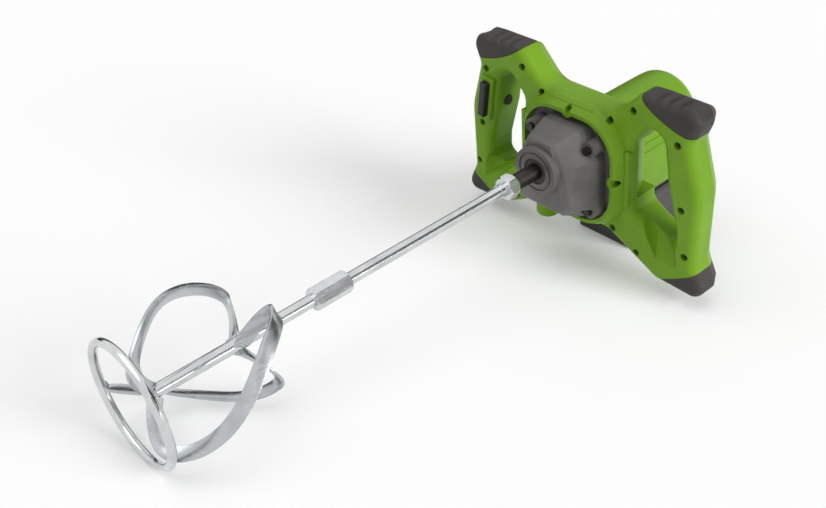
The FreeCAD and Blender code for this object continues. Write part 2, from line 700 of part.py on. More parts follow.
def make_upper_bumper(block, core):
    bumper = block.common(upper_region()).cut(core)
    cuts = []
    top_z = BODY_CORNERS[1][1]
    for x in GROOVE_PLACES:
        cuts.append(Part.makeTorus(BODY_DEPTH / 2 + GROOVE_R / 2, GROOVE_R,
                                   Vector(x, SEAM_Y, top_z - BODY_DEPTH / 2), AXIS_X))
    cuts.append(Part.makeSphere(THUMB_R, Vector(THUMB_X, SEAM_Y - EDGE_R, top_z + THUMB_R - THUMB_DEPTH)))
    for cut in cuts:
        bumper = bumper.cut(cut)
    return bumper


def make_lower_bumper(block, core):
    return block.common(lower_region()).cut(core)


def body_cavity():
    """Hollow inside the handles, narrower behind the rounded front edges."""
    outside = both_sides(BODY_CORNERS)
    wide = tapered(outside, BODY_WALL, BODY_FRONT_Y + EDGE_R, BODY_REAR_Y - BODY_WALL)
    narrow = prism(inset(outside, BODY_WALL + EDGE_R / 2), BODY_FRONT_Y + BODY_WALL, BODY_FRONT_Y + EDGE_R + BODY_WALL)
    cavity = wide.cut(holes_both_sides(BODY_WALL, BODY_FRONT_Y, BODY_REAR_Y))
    cavity = cavity.fuse(narrow.cut(holes_both_sides(BODY_WALL + EDGE_R / 2, BODY_FRONT_Y, BODY_REAR_Y)))
    for keep in (arm_recess(BODY_WALL), ring_relief(BODY_WALL)):
        cavity = cavity.cut(keep).cut(mirrored(keep))
    keep_upper = upper_region()
    keep_upper.translate(AXIS_Z * -BODY_WALL)
    keep_lower = lower_region()
    keep_lower.translate(AXIS_Z * BODY_WALL)
    for keep in (keep_upper, keep_lower):
        cavity = cavity.cut(keep).cut(mirrored(keep))
    return cavity


def all_screw_places():
    return BODY_SCREWS + [(-x, z) for x, z in BODY_SCREWS]


def screw_bosses(block):
    posts = [cylinder(SCREW_BOSS_R, BODY_FRONT_Y, BODY_REAR_Y, x, z) for x, z in all_screw_places()]
    return block.common(fuse(posts))


def screw_hole(x, z, mouth_y, seat_y):
    """Hole for one screw, with room for its head."""
    return cylinder(SCREW_HEAD_R + SLIDE_GAP, mouth_y, seat_y, x, z).fuse(cylinder(SCREW_R, seat_y, SCREW_END_Y, x, z))


def make_body_screws():
    screws = []
    places = [(x, z, BODY_FRONT_Y + SCREW_SINK) for x, z in all_screw_places()]
    places += [(x, z, BODY_FRONT_Y) for x, z in collar_screw_places()]
    for x, z, seat_y in places:
        head = cylinder(SCREW_HEAD_R, seat_y - SCREW_R, seat_y, x, z)
        screws.append(head.fuse(cylinder(SCREW_R, seat_y, SCREW_END_Y, x, z)))
    return Part.makeCompound(screws)


def collar_solid():
    """Flared collar that shields the gear case, with a half-round channel at each of its four screws."""
    front = outline(rounded_square(COLLAR_HALF + COLLAR_LIP, COLLAR_CORNER_R + COLLAR_LIP), COLLAR_FRONT_Y)
    root = outline(rounded_square(COLLAR_HALF + COLLAR_ROOT, COLLAR_CORNER_R + COLLAR_ROOT), BODY_FRONT_Y)
    flare = Part.makeLoft([front, root], True, True)
    neck = prism(rounded_square(COLLAR_HALF + COLLAR_ROOT, COLLAR_CORNER_R + COLLAR_ROOT), BODY_FRONT_Y,
                 BODY_FRONT_Y + EDGE_R)
    return flare.fuse(neck)


def trigger_boss():
    half_wide = TRIGGER_WIDTH / 2 + BODY_WALL + 1.0
    half_high = TRIGGER_HEIGHT / 2 + BODY_WALL + 2.0
    block = box(TRIGGER_X - half_wide, TRIGGER_X + half_wide, TRIGGER_BOSS_Y, BODY_FRONT_Y + EDGE_R,
                TRIGGER_Z - half_high, TRIGGER_Z + half_high)
    rims = [edge for edge in block.Edges if edge.BoundBox.YMax < TRIGGER_BOSS_Y + 0.01]
    return tilted(block.makeFillet(BODY_WALL / 2, rims))


def trigger_pocket():
    half_wide = TRIGGER_WIDTH / 2
    half_high = TRIGGER_HEIGHT / 2
    window = box(TRIGGER_X - half_wide - SLIDE_GAP, TRIGGER_X + half_wide + SLIDE_GAP, TRIGGER_BOSS_Y - 1.0,
                 BODY_FRONT_Y + EDGE_R, TRIGGER_Z - half_high - SLIDE_GAP, TRIGGER_Z + half_high + SLIDE_GAP)
    lip = TRIGGER_LIP + SLIDE_GAP
    room = box(TRIGGER_X - half_wide - lip, TRIGGER_X + half_wide + lip, TRIGGER_BOSS_Y + BODY_WALL,
               BODY_FRONT_Y + EDGE_R, TRIGGER_Z - half_high - lip, TRIGGER_Z + half_high + lip)
    return tilted(window.fuse(room))


def grip_inner_x(z):
    """Edge of the left grip opening beside the grip, at one height."""
    for high, low in zip(GRIP_HOLE[2:], GRIP_HOLE[3:]):
        if low[1] <= z <= high[1]:
            return -(high[0] + (low[0] - high[0]) * (high[1] - z) / (high[1] - low[1]))
    return -GRIP_HOLE[2][0]


def lock_cylinder(radius, from_x, to_x):
    return Part.makeCylinder(radius, from_x - to_x, Vector(from_x, LOCK_Y, LOCK_Z), AXIS_X * -1)


def lock_pocket():
    face_x = grip_inner_x(LOCK_Z)
    room_x = face_x - BODY_WALL
    hole = lock_cylinder(LOCK_R + SLIDE_GAP, face_x + EDGE_R, room_x - LOCK_ROOM)
    return hole.fuse(lock_cylinder(LOCK_R + LOCK_LIP + SLIDE_GAP, room_x, room_x - LOCK_ROOM))


def arm_recess(extra):
    """Sloping hollow in the front of a lower arm, deepest at the grip opening."""
    sections = []
    for points, y in ((RECESS_FRONT, BODY_FRONT_Y - SEAT_GAP), (RECESS_BACK, SEAM_Y - RECESS_FLOOR + extra)):
        wider = inset([(x, z, 0.0) for x, z in reversed(points)], -extra)
        sections.append(polygon([(x, z) for x, z, radius in wider], y))
    return Part.makeLoft(sections, True, True)


def stub():
    """Rounded stub that points down from the collar's lower left."""
    length = BODY_Z - COLLAR_HALF - STUB_END_Z
    post = Part.makeCylinder(STUB_R, length, Vector(STUB_X, STUB_Y, STUB_END_Z), AXIS_Z)
    rim = [edge for edge in post.Edges if edge.BoundBox.ZMax < STUB_END_Z + 0.01]
    return post.makeFillet(STUB_R / 3, rim)


def make_housings(block, core):
    """Front and rear halves of the body, split at the middle of the handles."""
    inner_r = MOTOR_FLANGE_R + SLIDE_GAP
    shell = block
    for region in (upper_region(), lower_region()):
        shell = shell.cut(region).cut(mirrored(region))
    inside_bumpers = [core.common(region) for region in (upper_region(), lower_region())]
    shell = fuse([shell] + inside_bumpers + [mirrored(piece) for piece in inside_bumpers])
    shell = shell.cut(body_cavity()).fuse(screw_bosses(block))
    shell = shell.cut(arm_recess(0.0)).cut(mirrored(arm_recess(0.0)))
    hub = cylinder(MOTOR_FLANGE_R, BODY_REAR_Y - BODY_WALL, BODY_REAR_Y + HUB_LENGTH, 0, MOTOR_AXIS_Z)
    barrel_wall = cylinder(inner_r + BODY_WALL, BODY_FRONT_Y + BODY_WALL, BODY_REAR_Y, 0, MOTOR_AXIS_Z)
    shell = fuse([shell, collar_solid(), hub, barrel_wall, trigger_boss(), stub()])
    for x, z in all_screw_places():
        shell = shell.cut(screw_hole(x, z, BODY_FRONT_Y - BODY_WALL, BODY_FRONT_Y + SCREW_SINK))
    ledge_y = MOTOR_PLATE_END_Y
    wide = BODY_DEPTH * 10
    rear_side = box(-wide, wide, SEAM_Y, SEAM_Y + wide, -wide, wide)
    front_side = box(-wide, wide, SEAM_Y - wide, SEAM_Y, -wide, wide)
    front = shell.cut(rear_side)
    rear = shell.cut(front_side)
    front = front.cut(prism(rounded_square(COLLAR_HALF, COLLAR_CORNER_R), COLLAR_FRONT_Y, ledge_y))
    front = front.cut(cylinder(inner_r, ledge_y, SEAM_Y, 0, MOTOR_AXIS_Z))
    rear = rear.cut(cylinder(inner_r, SEAM_Y, BODY_REAR_Y - BODY_WALL, 0, MOTOR_AXIS_Z))
    rear = rear.cut(cylinder(MOTOR_R + MOTOR_BORE_GAP, SEAM_Y, CAP_SEAM_Y, 0, MOTOR_AXIS_Z))
    channels = fuse([cylinder(COLLAR_BOSS_R, COLLAR_FRONT_Y, ledge_y, x, z) for x, z in collar_screw_places()])
    front = fuse([front, channels.common(collar_solid())])
    for x, z in collar_screw_places():
        front = front.cut(screw_hole(x, z, COLLAR_FRONT_Y, BODY_FRONT_Y))
        rear = rear.cut(screw_hole(x, z, COLLAR_FRONT_Y, BODY_FRONT_Y))
    return front.cut(trigger_pocket()).cut(lock_pocket()), rear.cut(lock_pocket())


def make_trigger():
    half_wide = TRIGGER_WIDTH / 2
    half_high = TRIGGER_HEIGHT / 2
    lip_y = TRIGGER_BOSS_Y + BODY_WALL + SEAT_GAP
    bar = box(TRIGGER_X - half_wide, TRIGGER_X + half_wide, TRIGGER_BOSS_Y - TRIGGER_PROUD, lip_y + BODY_WALL,
              TRIGGER_Z - half_high, TRIGGER_Z + half_high)
    rims = [edge for edge in bar.Edges if edge.BoundBox.YMax < TRIGGER_BOSS_Y]
    bar = bar.makeFillet(TRIGGER_WIDTH / 4, rims)
    lip = TRIGGER_LIP
    flange = box(TRIGGER_X - half_wide - lip, TRIGGER_X + half_wide + lip, lip_y, lip_y + BODY_WALL,
                 TRIGGER_Z - half_high - lip, TRIGGER_Z + half_high + lip)
    return tilted(bar.fuse(flange))


def make_lock_button():
    face_x = grip_inner_x(LOCK_Z)
    lip_x = face_x - BODY_WALL - SEAT_GAP
    pin = lock_cylinder(LOCK_R, face_x + LOCK_PROUD, lip_x - LOCK_LIP)
    rim = [edge for edge in pin.Edges if edge.BoundBox.XMin > face_x]
    pin = pin.makeFillet(LOCK_PROUD / 2, rim)
    return pin.fuse(lock_cylinder(LOCK_R + LOCK_LIP, lip_x, lip_x - LOCK_LIP))


def make_switch_module():
    front_y = BODY_FRONT_Y + EDGE_R + SLIDE_GAP
    high_x = grip_inner_x(LOCK_Z) - BODY_WALL - LOCK_ROOM - FACE_GAP
    return tilted(box(high_x - SWITCH_WIDTH, high_x, front_y, BODY_REAR_Y - BODY_WALL - EDGE_R,
                      TRIGGER_Z - SWITCH_HEIGHT / 2, TRIGGER_Z + SWITCH_HEIGHT / 2))


# Motor pieces

def motor_section():
    shoulder_z = (MOTOR_AXIS_Z - MOTOR_R + FOOT_Z) / 3
    return both_sides([(MOTOR_R, MOTOR_AXIS_Z + MOTOR_R, MOTOR_R * 0.98), (MOTOR_R, shoulder_z, MOTOR_R / 2),
                       (FOOT_HALF, FOOT_Z, FOOT_CORNER_R)])


def make_motor_housing():
    outside = fuse([cylinder(MOTOR_R, MOTOR_FRONT_Y, CAP_SEAM_Y, 0, MOTOR_AXIS_Z),
                    cylinder(MOTOR_FLANGE_R, MOTOR_FRONT_Y, MOTOR_FRONT_Y + MOTOR_FLANGE_THICK, 0, MOTOR_AXIS_Z),
                    prism(motor_section(), FOOT_FRONT_Y, CAP_SEAM_Y)])
    barrel = cylinder(MOTOR_R - MOTOR_WALL, MOTOR_FRONT_Y, CAP_SEAM_Y, 0, MOTOR_AXIS_Z)
    under = prism(inset(motor_section(), MOTOR_WALL), FOOT_FRONT_Y + MOTOR_WALL, CAP_SEAM_Y)
    divider = tube(MOTOR_R, MOTOR_R - MOTOR_WALL, FOOT_FRONT_Y, REAR_BEARING_END_Y, 0, MOTOR_AXIS_Z)
    web = cylinder(MOTOR_R - MOTOR_WALL, REAR_MOTOR_BEARING_Y, REAR_BEARING_END_Y, 0, MOTOR_AXIS_Z)
    windows = []
    for step in range(WEB_WINDOWS):
        angle = math.radians(360 * (step + 0.5) / WEB_WINDOWS)
        middle_r = (MOTOR_BEARING_R + MOTOR_WALL + MOTOR_R - MOTOR_WALL) / 2
        windows.append(cylinder(WEB_WINDOW_R, REAR_MOTOR_BEARING_Y, REAR_BEARING_END_Y,
                                middle_r * math.cos(angle), MOTOR_AXIS_Z + middle_r * math.sin(angle)))
    seat = cylinder(MOTOR_BEARING_R, REAR_MOTOR_BEARING_Y, REAR_BEARING_END_Y, 0, MOTOR_AXIS_Z)
    shell = outside.cut(barrel.fuse(under))
    posts = [cylinder(POST_R, REAR_BEARING_END_Y, BOARD_Y, x, z) for x, z in board_post_places()]
    return fuse([shell, divider, web.cut(fuse(windows + [seat]))] + posts)


def board_post_places():
    turns = [2 * math.pi * step / POST_COUNT for step in range(POST_COUNT)]
    return [(POST_REACH * math.cos(turn), MOTOR_AXIS_Z + POST_REACH * math.sin(turn)) for turn in turns]


def make_control_board():
    board = cylinder(BOARD_R, BOARD_Y, BOARD_Y + BOARD_THICK, 0, MOTOR_AXIS_Z)
    top_y = BOARD_Y + BOARD_THICK
    half = CHIP_SIZE / 2
    chips = [box(x - half, x + half, top_y, top_y + half, MOTOR_AXIS_Z + z - half, MOTOR_AXIS_Z + z + half)
             for x in (-CHIP_PITCH, 0.0, CHIP_PITCH) for z in (-CHIP_ROW, CHIP_ROW)]
    return fuse([board] + chips)


def make_rear_cap():
    dome = cylinder(MOTOR_R, CAP_SEAM_Y, CAP_REAR_Y, 0, MOTOR_AXIS_Z)
    rim = [edge for edge in dome.Edges if edge.BoundBox.YMin > CAP_REAR_Y - 0.01]
    dome = dome.makeFillet(CAP_ROUND_R, rim)
    foot = prism(motor_section(), CAP_SEAM_Y, CAP_FOOT_Y)
    rims = [edge for edge in foot.Edges if edge.BoundBox.YMin > CAP_FOOT_Y - 0.01]
    foot = foot.makeFillet(FOOT_CORNER_R * 0.8, rims)
    inside_r = MOTOR_R - MOTOR_WALL
    hollow = cylinder(inside_r, CAP_SEAM_Y, CAP_REAR_Y - MOTOR_WALL, 0, MOTOR_AXIS_Z)
    inner_rim = [edge for edge in hollow.Edges if edge.BoundBox.YMin > CAP_REAR_Y - MOTOR_WALL - 0.01]
    hollow = hollow.makeFillet(CAP_ROUND_R - MOTOR_WALL, inner_rim)
    under = prism(inset(motor_section(), MOTOR_WALL), CAP_SEAM_Y, CAP_FOOT_Y - FOOT_CORNER_R)
    slots = []
    for step in range(CAP_SLOTS):
        z = MOTOR_AXIS_Z + (step - (CAP_SLOTS - 1) / 2) * CAP_SLOT_PITCH
        slots.append(box(-CAP_SLOT_HALF, CAP_SLOT_HALF, CAP_FOOT_Y, CAP_REAR_Y,
                         z - CAP_SLOT_PITCH / 5, z + CAP_SLOT_PITCH / 5))
    return dome.fuse(foot).cut(hollow.fuse(under)).cut(Part.makeCompound(slots))


def make_stator_core():
    yoke_r = STATOR_R - STATOR_YOKE
    core = tube(STATOR_R, yoke_r, STATOR_FRONT_Y, STATOR_END_Y, 0, MOTOR_AXIS_Z)
    tooth = box(0, STATOR_R - STATOR_YOKE / 2, STATOR_FRONT_Y, STATOR_END_Y, -TOOTH_WIDTH / 2, TOOTH_WIDTH / 2)
    teeth = [around_motor(tooth, step) for step in range(STATOR_TEETH)]
    bore = cylinder(STATOR_BORE_R, STATOR_FRONT_Y, STATOR_END_Y, 0, MOTOR_AXIS_Z)
    return fuse([core] + teeth).cut(bore)


def around_motor(shape, step):
    """Copy a piece drawn along +X to one of the places round the motor axis."""
    turned = shape.copy()
    turned.rotate(Vector(0, 0, 0), AXIS_Y, 360 * step / STATOR_TEETH)
    turned.translate(AXIS_Z * MOTOR_AXIS_Z)
    return turned


def make_stator_coils():
    low_r = STATOR_BORE_R + COIL_INSET
    high_r = STATOR_R - STATOR_YOKE - COIL_INSET
    half = TOOTH_WIDTH / 2
    around = box(low_r, high_r, STATOR_FRONT_Y - COIL_THICK, STATOR_END_Y + COIL_THICK, -half - COIL_THICK,
                 half + COIL_THICK)
    middle = box(low_r, high_r, STATOR_FRONT_Y, STATOR_END_Y, -half, half)
    return Part.makeCompound([around_motor(around.cut(middle), step) for step in range(STATOR_TEETH)])


def make_rotor_core():
    return tube(STATOR_BORE_R - AIR_GAP, MOTOR_SHAFT_R, STATOR_FRONT_Y, STATOR_END_Y, 0, MOTOR_AXIS_Z)


def make_motor_shaft():
    return fuse([
        cylinder(PINION_BORE_R, WHEEL_Y, FRONT_MOTOR_BEARING_Y, 0, MOTOR_AXIS_Z),
        cylinder(MOTOR_SHAFT_R - RUN_GAP, WHEEL_END_Y + FACE_GAP, FAN_Y, 0, MOTOR_AXIS_Z),
        cylinder(MOTOR_SHAFT_R, FAN_Y, STATOR_END_Y, 0, MOTOR_AXIS_Z),
        cylinder(MOTOR_SHAFT_R - RUN_GAP, STATOR_END_Y, REAR_BEARING_END_Y, 0, MOTOR_AXIS_Z),
    ])


def make_motor_bearing(start_y):
    return tube(MOTOR_BEARING_R, MOTOR_SHAFT_R, start_y, start_y + MOTOR_BEARING_WIDTH, 0, MOTOR_AXIS_Z)


def make_fan():
    plate = cylinder(FAN_R, FAN_Y, FAN_Y + FAN_PLATE, 0, MOTOR_AXIS_Z)
    hub = cylinder(MOTOR_SHAFT_R + BODY_WALL, FAN_Y, FAN_Y + FAN_WIDTH, 0, MOTOR_AXIS_Z)
    pieces = [plate, hub]
    for step in range(FAN_BLADES):
        blade = box(FAN_R / 2, FAN_R, FAN_Y, FAN_Y + FAN_WIDTH, -FAN_PLATE / 2, FAN_PLATE / 2)
        blade.rotate(Vector(0, 0, 0), AXIS_Y, 360 * step / FAN_BLADES)
        blade.translate(AXIS_Z * MOTOR_AXIS_Z)
        pieces.append(blade)
    return fuse(pieces).cut(cylinder(MOTOR_SHAFT_R, FAN_Y, FAN_Y + FAN_WIDTH, 0, MOTOR_AXIS_Z))


# Battery pieces

def make_battery_shoe():
    plate = box(-SHOE_HALF, SHOE_HALF, FOOT_FRONT_Y + MOTOR_WALL, CAP_FOOT_Y, PACK_TOP_Z + SLIDE_GAP, FOOT_Z)
    neck_z = PACK_TOP_Z - RAIL_STEP
    rail_end = CAP_FOOT_Y - SHOE_TAIL
    neck = box(-RAIL_NECK_HALF, RAIL_NECK_HALF, FOOT_FRONT_Y + MOTOR_WALL, rail_end, neck_z, FOOT_Z)
    head = box(-RAIL_HEAD_HALF, RAIL_HEAD_HALF, FOOT_FRONT_Y + MOTOR_WALL, rail_end, neck_z - RAIL_STEP,
               neck_z)
    return fuse([plate, neck, head])


def make_terminals():
    top_z = PACK_TOP_Z - 2 * RAIL_STEP
    start_y = PACK_FRONT_Y + TERMINAL_LENGTH
    return Part.makeCompound([
        box(x - TERMINAL_THICK / 2, x + TERMINAL_THICK / 2, start_y, start_y + TERMINAL_LENGTH,
            top_z - TERMINAL_DROP, top_z) for x in (-TERMINAL_PITCH, 0.0, TERMINAL_PITCH)])


def make_pack_top():
    block = box(-PACK_HALF, PACK_HALF, PACK_FRONT_Y, PACK_REAR_Y, PACK_SEAM_Z, PACK_TOP_Z)
    upright = [edge for edge in block.Edges if edge.BoundBox.ZLength > RAIL_STEP]
    block = block.makeFillet(PACK_CORNER_R, upright)
    rim = [edge for edge in block.Edges if edge.BoundBox.ZMin > PACK_TOP_Z - 0.01]
    block = block.makeChamfer(PACK_WALL, rim)
    gap = SLIDE_GAP
    slot_end = CAP_FOOT_Y - SHOE_TAIL + gap
    neck_z = PACK_TOP_Z - RAIL_STEP
    neck = box(-RAIL_NECK_HALF - gap, RAIL_NECK_HALF + gap, PACK_FRONT_Y, slot_end, neck_z, PACK_TOP_Z)
    head = box(-RAIL_HEAD_HALF - gap, RAIL_HEAD_HALF + gap, PACK_FRONT_Y, slot_end, neck_z - RAIL_STEP - gap,
               neck_z + gap)
    half = TERMINAL_PITCH + TERMINAL_LENGTH / 2
    pocket = box(-half, half, PACK_FRONT_Y, PACK_FRONT_Y + 3 * TERMINAL_LENGTH,
                 neck_z - RAIL_STEP - TERMINAL_DROP - gap, neck_z)
    hollow = box(-PACK_HALF + PACK_WALL, PACK_HALF - PACK_WALL, PACK_FRONT_Y + PACK_WALL,
                 PACK_REAR_Y - PACK_WALL, PACK_SEAM_Z, cell_top_z() + SEAT_GAP)
    return block.cut(fuse([neck, head, pocket, hollow])).cut(latch_pocket())


def cell_top_z():
    return PACK_BASE_Z + PACK_WALL + 4 * CELL_R + CELL_GAP


def make_pack_base():
    block = box(-PACK_HALF, PACK_HALF, PACK_FRONT_Y, PACK_REAR_Y, PACK_BASE_Z, PACK_SEAM_Z)
    upright = [edge for edge in block.Edges if edge.BoundBox.ZLength > CELL_GAP]
    block = block.makeFillet(PACK_CORNER_R, upright)
    rim = [edge for edge in block.Edges if edge.BoundBox.ZMax < PACK_BASE_Z + 0.01]
    block = block.makeChamfer(PACK_WALL / 2, rim)
    hollow = box(-PACK_HALF + PACK_WALL, PACK_HALF - PACK_WALL, PACK_FRONT_Y + PACK_WALL,
                 PACK_REAR_Y - PACK_WALL, PACK_BASE_Z + PACK_WALL, PACK_SEAM_Z)
    return block.cut(hollow)


def make_cells():
    cells = []
    pitch = 2 * CELL_R + CELL_GAP
    first_y = PACK_FRONT_Y + PACK_LENGTH / 2 - 2 * pitch
    for layer in range(2):
        for row in range(5):
            middle = Vector(-CELL_LENGTH / 2, first_y + row * pitch,
                            PACK_BASE_Z + PACK_WALL + CELL_R + layer * pitch)
            cells.append(Part.makeCylinder(CELL_R, CELL_LENGTH, middle, AXIS_X))
    return Part.makeCompound(cells)


def latch_start_y():
    return CAP_FOOT_Y + LATCH_GAP


def latch_pocket():
    gap = SLIDE_GAP
    return box(-LATCH_HALF - gap, LATCH_HALF + gap, latch_start_y() - gap,
               latch_start_y() + LATCH_LENGTH + gap, PACK_TOP_Z - LATCH_DEPTH - LATCH_TRAVEL - gap, PACK_TOP_Z)


def make_latch_button():
    button = box(-LATCH_HALF, LATCH_HALF, latch_start_y(), latch_start_y() + LATCH_LENGTH,
                 PACK_TOP_Z - LATCH_DEPTH, PACK_TOP_Z + LATCH_PROUD)
    rim = [edge for edge in button.Edges if edge.BoundBox.ZMin > PACK_TOP_Z]
    return button.makeFillet(LATCH_PROUD / 2, rim)


def save(name, shape):
    shape.exportStep("parts/" + name + ".step")


def main():
    os.makedirs("parts", exist_ok=True)
    save("hoop", make_hoop())
    for number in range(BLADE_COUNT):
        save("blade_%d" % (number + 1), make_blade(BLADE_START_ANGLE + number * 360.0 / BLADE_COUNT))
    save("lower_rod", make_lower_rod())
    save("hex_coupling", make_coupling())
    save("upper_rod", make_upper_rod())
    save("lock_nut", make_lock_nut())
    save("spindle", make_spindle())
    save("output_gear", make_output_gear())
    save("layshaft", make_layshaft())
    save("layshaft_pinion", make_lay_pinion())
    save("layshaft_wheel", make_lay_wheel())
    save("layshaft_bushes", make_lay_bushes())
    save("spindle_front_bearing", make_front_bearing())
    save("spindle_rear_bearing", make_rear_bearing())
    save("spindle_seal", make_seal())
    save("gear_case", make_gear_case())
    save("gear_plate", make_gear_plate())
    save("motor_plate", make_motor_plate())
    save("gear_case_screws", make_case_screws())
    block = body_block()
    core = bumper_core()
    front, rear = make_housings(block, core)
    save("front_housing", front)
    save("rear_housing", rear)
    upper = make_upper_bumper(block, core)
    lower = make_lower_bumper(block, core)
    save("upper_right_bumper", upper)
    save("upper_left_bumper", mirrored(upper))
    save("lower_right_bumper", lower)
    save("lower_left_bumper", mirrored(lower))
    save("housing_screws", make_body_screws())
    save("trigger", make_trigger())
    save("lock_button", make_lock_button())
    save("switch_module", make_switch_module())
    save("motor_housing", make_motor_housing())
    save("rear_cap", make_rear_cap())
    save("control_board", make_control_board())
    save("stator_core", make_stator_core())
    save("stator_coils", make_stator_coils())
    save("rotor_core", make_rotor_core())
    save("motor_shaft", make_motor_shaft())
    save("motor_pinion", make_motor_pinion())
    save("motor_front_bearing", make_motor_bearing(FRONT_MOTOR_BEARING_Y))
    save("motor_rear_bearing", make_motor_bearing(REAR_MOTOR_BEARING_Y))
    save("cooling_fan", make_fan())
    save("battery_shoe", make_battery_shoe())
    save("battery_terminals", make_terminals())
    save("battery_case_top", make_pack_top())
    save("battery_case_base", make_pack_base())
    save("battery_cells", make_cells())
    save("battery_latch_button", make_latch_button())


main()
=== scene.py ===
import math

import bpy
from mathutils import Matrix, Vector


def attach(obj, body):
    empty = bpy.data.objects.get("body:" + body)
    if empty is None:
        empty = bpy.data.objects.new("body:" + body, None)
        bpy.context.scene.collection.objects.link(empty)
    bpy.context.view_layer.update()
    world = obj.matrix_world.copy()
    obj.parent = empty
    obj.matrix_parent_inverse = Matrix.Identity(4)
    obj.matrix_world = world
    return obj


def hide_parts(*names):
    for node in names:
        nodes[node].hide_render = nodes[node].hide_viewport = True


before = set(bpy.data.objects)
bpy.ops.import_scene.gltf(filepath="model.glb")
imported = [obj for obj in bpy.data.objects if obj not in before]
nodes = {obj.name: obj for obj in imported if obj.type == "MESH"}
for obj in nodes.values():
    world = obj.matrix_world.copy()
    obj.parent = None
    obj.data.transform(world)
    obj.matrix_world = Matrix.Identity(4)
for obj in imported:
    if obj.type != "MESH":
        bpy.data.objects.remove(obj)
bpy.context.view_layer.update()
bpy.ops.object.select_all(action="DESELECT")

# Camera at the photograph's place: from the right, in front and above, with a little
# roll. Places are in metres, turns in degrees, and the lens and its sensor in millimetres.
CAMERA_PLACE = (0.64956, -0.68749, 0.58413)
CAMERA_TURN = (54.30, 4.284, 48.06)
CAMERA_LENS = 48.45
CAMERA_SENSOR = 36.0
CAMERA_NEAR = 0.01
bpy.ops.object.camera_add(location=CAMERA_PLACE, rotation=[math.radians(turn) for turn in CAMERA_TURN])
camera = bpy.context.object
camera.name = "photo_camera"
camera.data.sensor_width = CAMERA_SENSOR
camera.data.lens = CAMERA_LENS
camera.data.clip_start = CAMERA_NEAR
bpy.context.scene.camera = camera
bpy.context.scene.view_settings.view_transform = "Standard"

# Pale studio floor, matt white with a small glow of its own. It passes just under the hoop
# and under the battery pack, which is how the drill lies when it is put down.
# The two places are Y and Z.
FLOOR_AT_HOOP = (-0.459, -0.0605)
FLOOR_AT_PACK = (0.110, -0.1365)
FLOOR_SIZE = 14.0
FLOOR_WHITE = (0.98, 0.98, 0.98, 1)
FLOOR_GLOW = 0.2


def seen_rays(tree):
    """Socket that is 1 for rays that the picture, a gloss or glass shows, and 0 for the rest."""
    path = tree.nodes.new("ShaderNodeLightPath")
    seen = path.outputs["Is Camera Ray"]
    for ray in ("Is Glossy Ray", "Is Transmission Ray"):
        either = tree.nodes.new("ShaderNodeMath")
        either.operation = "MAXIMUM"
        tree.links.new(seen, either.inputs[0])
        tree.links.new(path.outputs[ray], either.inputs[1])
        seen = either.outputs[0]
    return seen


floor_rise = FLOOR_AT_PACK[1] - FLOOR_AT_HOOP[1]
floor_tilt = math.atan2(floor_rise, FLOOR_AT_PACK[0] - FLOOR_AT_HOOP[0])
bpy.ops.mesh.primitive_plane_add(
    size=FLOOR_SIZE,
    location=(0, 0, FLOOR_AT_HOOP[1] - FLOOR_AT_HOOP[0] * math.tan(floor_tilt)),
    rotation=(floor_tilt, 0, 0),
)
floor = bpy.context.object
floor.name = "studio_floor"
floor_paint = bpy.data.materials.new("floor_paint")
floor_paint.use_nodes = True
paint_tree = floor_paint.node_tree
paint_tree.nodes.clear()
paint_out = paint_tree.nodes.new("ShaderNodeOutputMaterial")
paint_mix = paint_tree.nodes.new("ShaderNodeMixShader")
paint_matt = paint_tree.nodes.new("ShaderNodeBsdfDiffuse")
paint_matt.inputs["Color"].default_value = FLOOR_WHITE
paint_glow = paint_tree.nodes.new("ShaderNodeEmission")
paint_share = paint_tree.nodes.new("ShaderNodeMath")
paint_share.operation = "MULTIPLY"
paint_share.inputs[1].default_value = FLOOR_GLOW
paint_tree.links.new(seen_rays(paint_tree), paint_share.inputs[0])
paint_tree.links.new(paint_share.outputs[0], paint_mix.inputs[0])
paint_tree.links.new(paint_matt.outputs[0], paint_mix.inputs[1])
paint_tree.links.new(paint_glow.outputs[0], paint_mix.inputs[2])
paint_tree.links.new(paint_mix.outputs[0], paint_out.inputs["Surface"])
floor.data.materials.append(floor_paint)

# Plain soft studio light: a white room, a wide light from above and one from the right,
# and two dark cards that only polished metal shows, as streaks.
ROOM_LIGHT = 0.4
ROOM_SEEN = 1.0
LAMP_AIM = (0, 0, 0)
CARD_AIM = (0, -0.2, 0)
CARD_BLACK = (0.02, 0.02, 0.02, 1)
CARD_SHINE = 0.0
world = bpy.data.worlds.new("white_room")
bpy.context.scene.world = world
world.use_nodes = True
room = world.node_tree
room_back = room.nodes["Background"]
room_back.inputs["Color"].default_value = (1, 1, 1, 1)
room_level = room.nodes.new("ShaderNodeMapRange")
room_level.inputs["To Min"].default_value = ROOM_LIGHT
room_level.inputs["To Max"].default_value = ROOM_SEEN
room.links.new(seen_rays(room), room_level.inputs["Value"])
room.links.new(room_level.outputs[0], room_back.inputs["Strength"])


def face_towards(thing, place, aim):
    """Turn a lamp or card at a place so that it looks at the aim."""
    way = [place[k] - aim[k] for k in range(3)]
    thing.rotation_euler = (math.atan2(math.hypot(way[0], way[1]), way[2]), 0, math.atan2(way[0], -way[1]))


for lamp_name, place, spread, power in (
    ("top_light", (-0.2, -0.5, 2.0), 55.0, 0.9),
    ("right_light", (1.7, 0.5, 0.75), 35.0, 2.5),
):
    bpy.ops.object.light_add(type="SUN", location=place)
    lamp = bpy.context.object
    lamp.name = lamp_name
    lamp.data.angle = math.radians(spread)
    lamp.data.energy = power
    face_towards(lamp, place, LAMP_AIM)

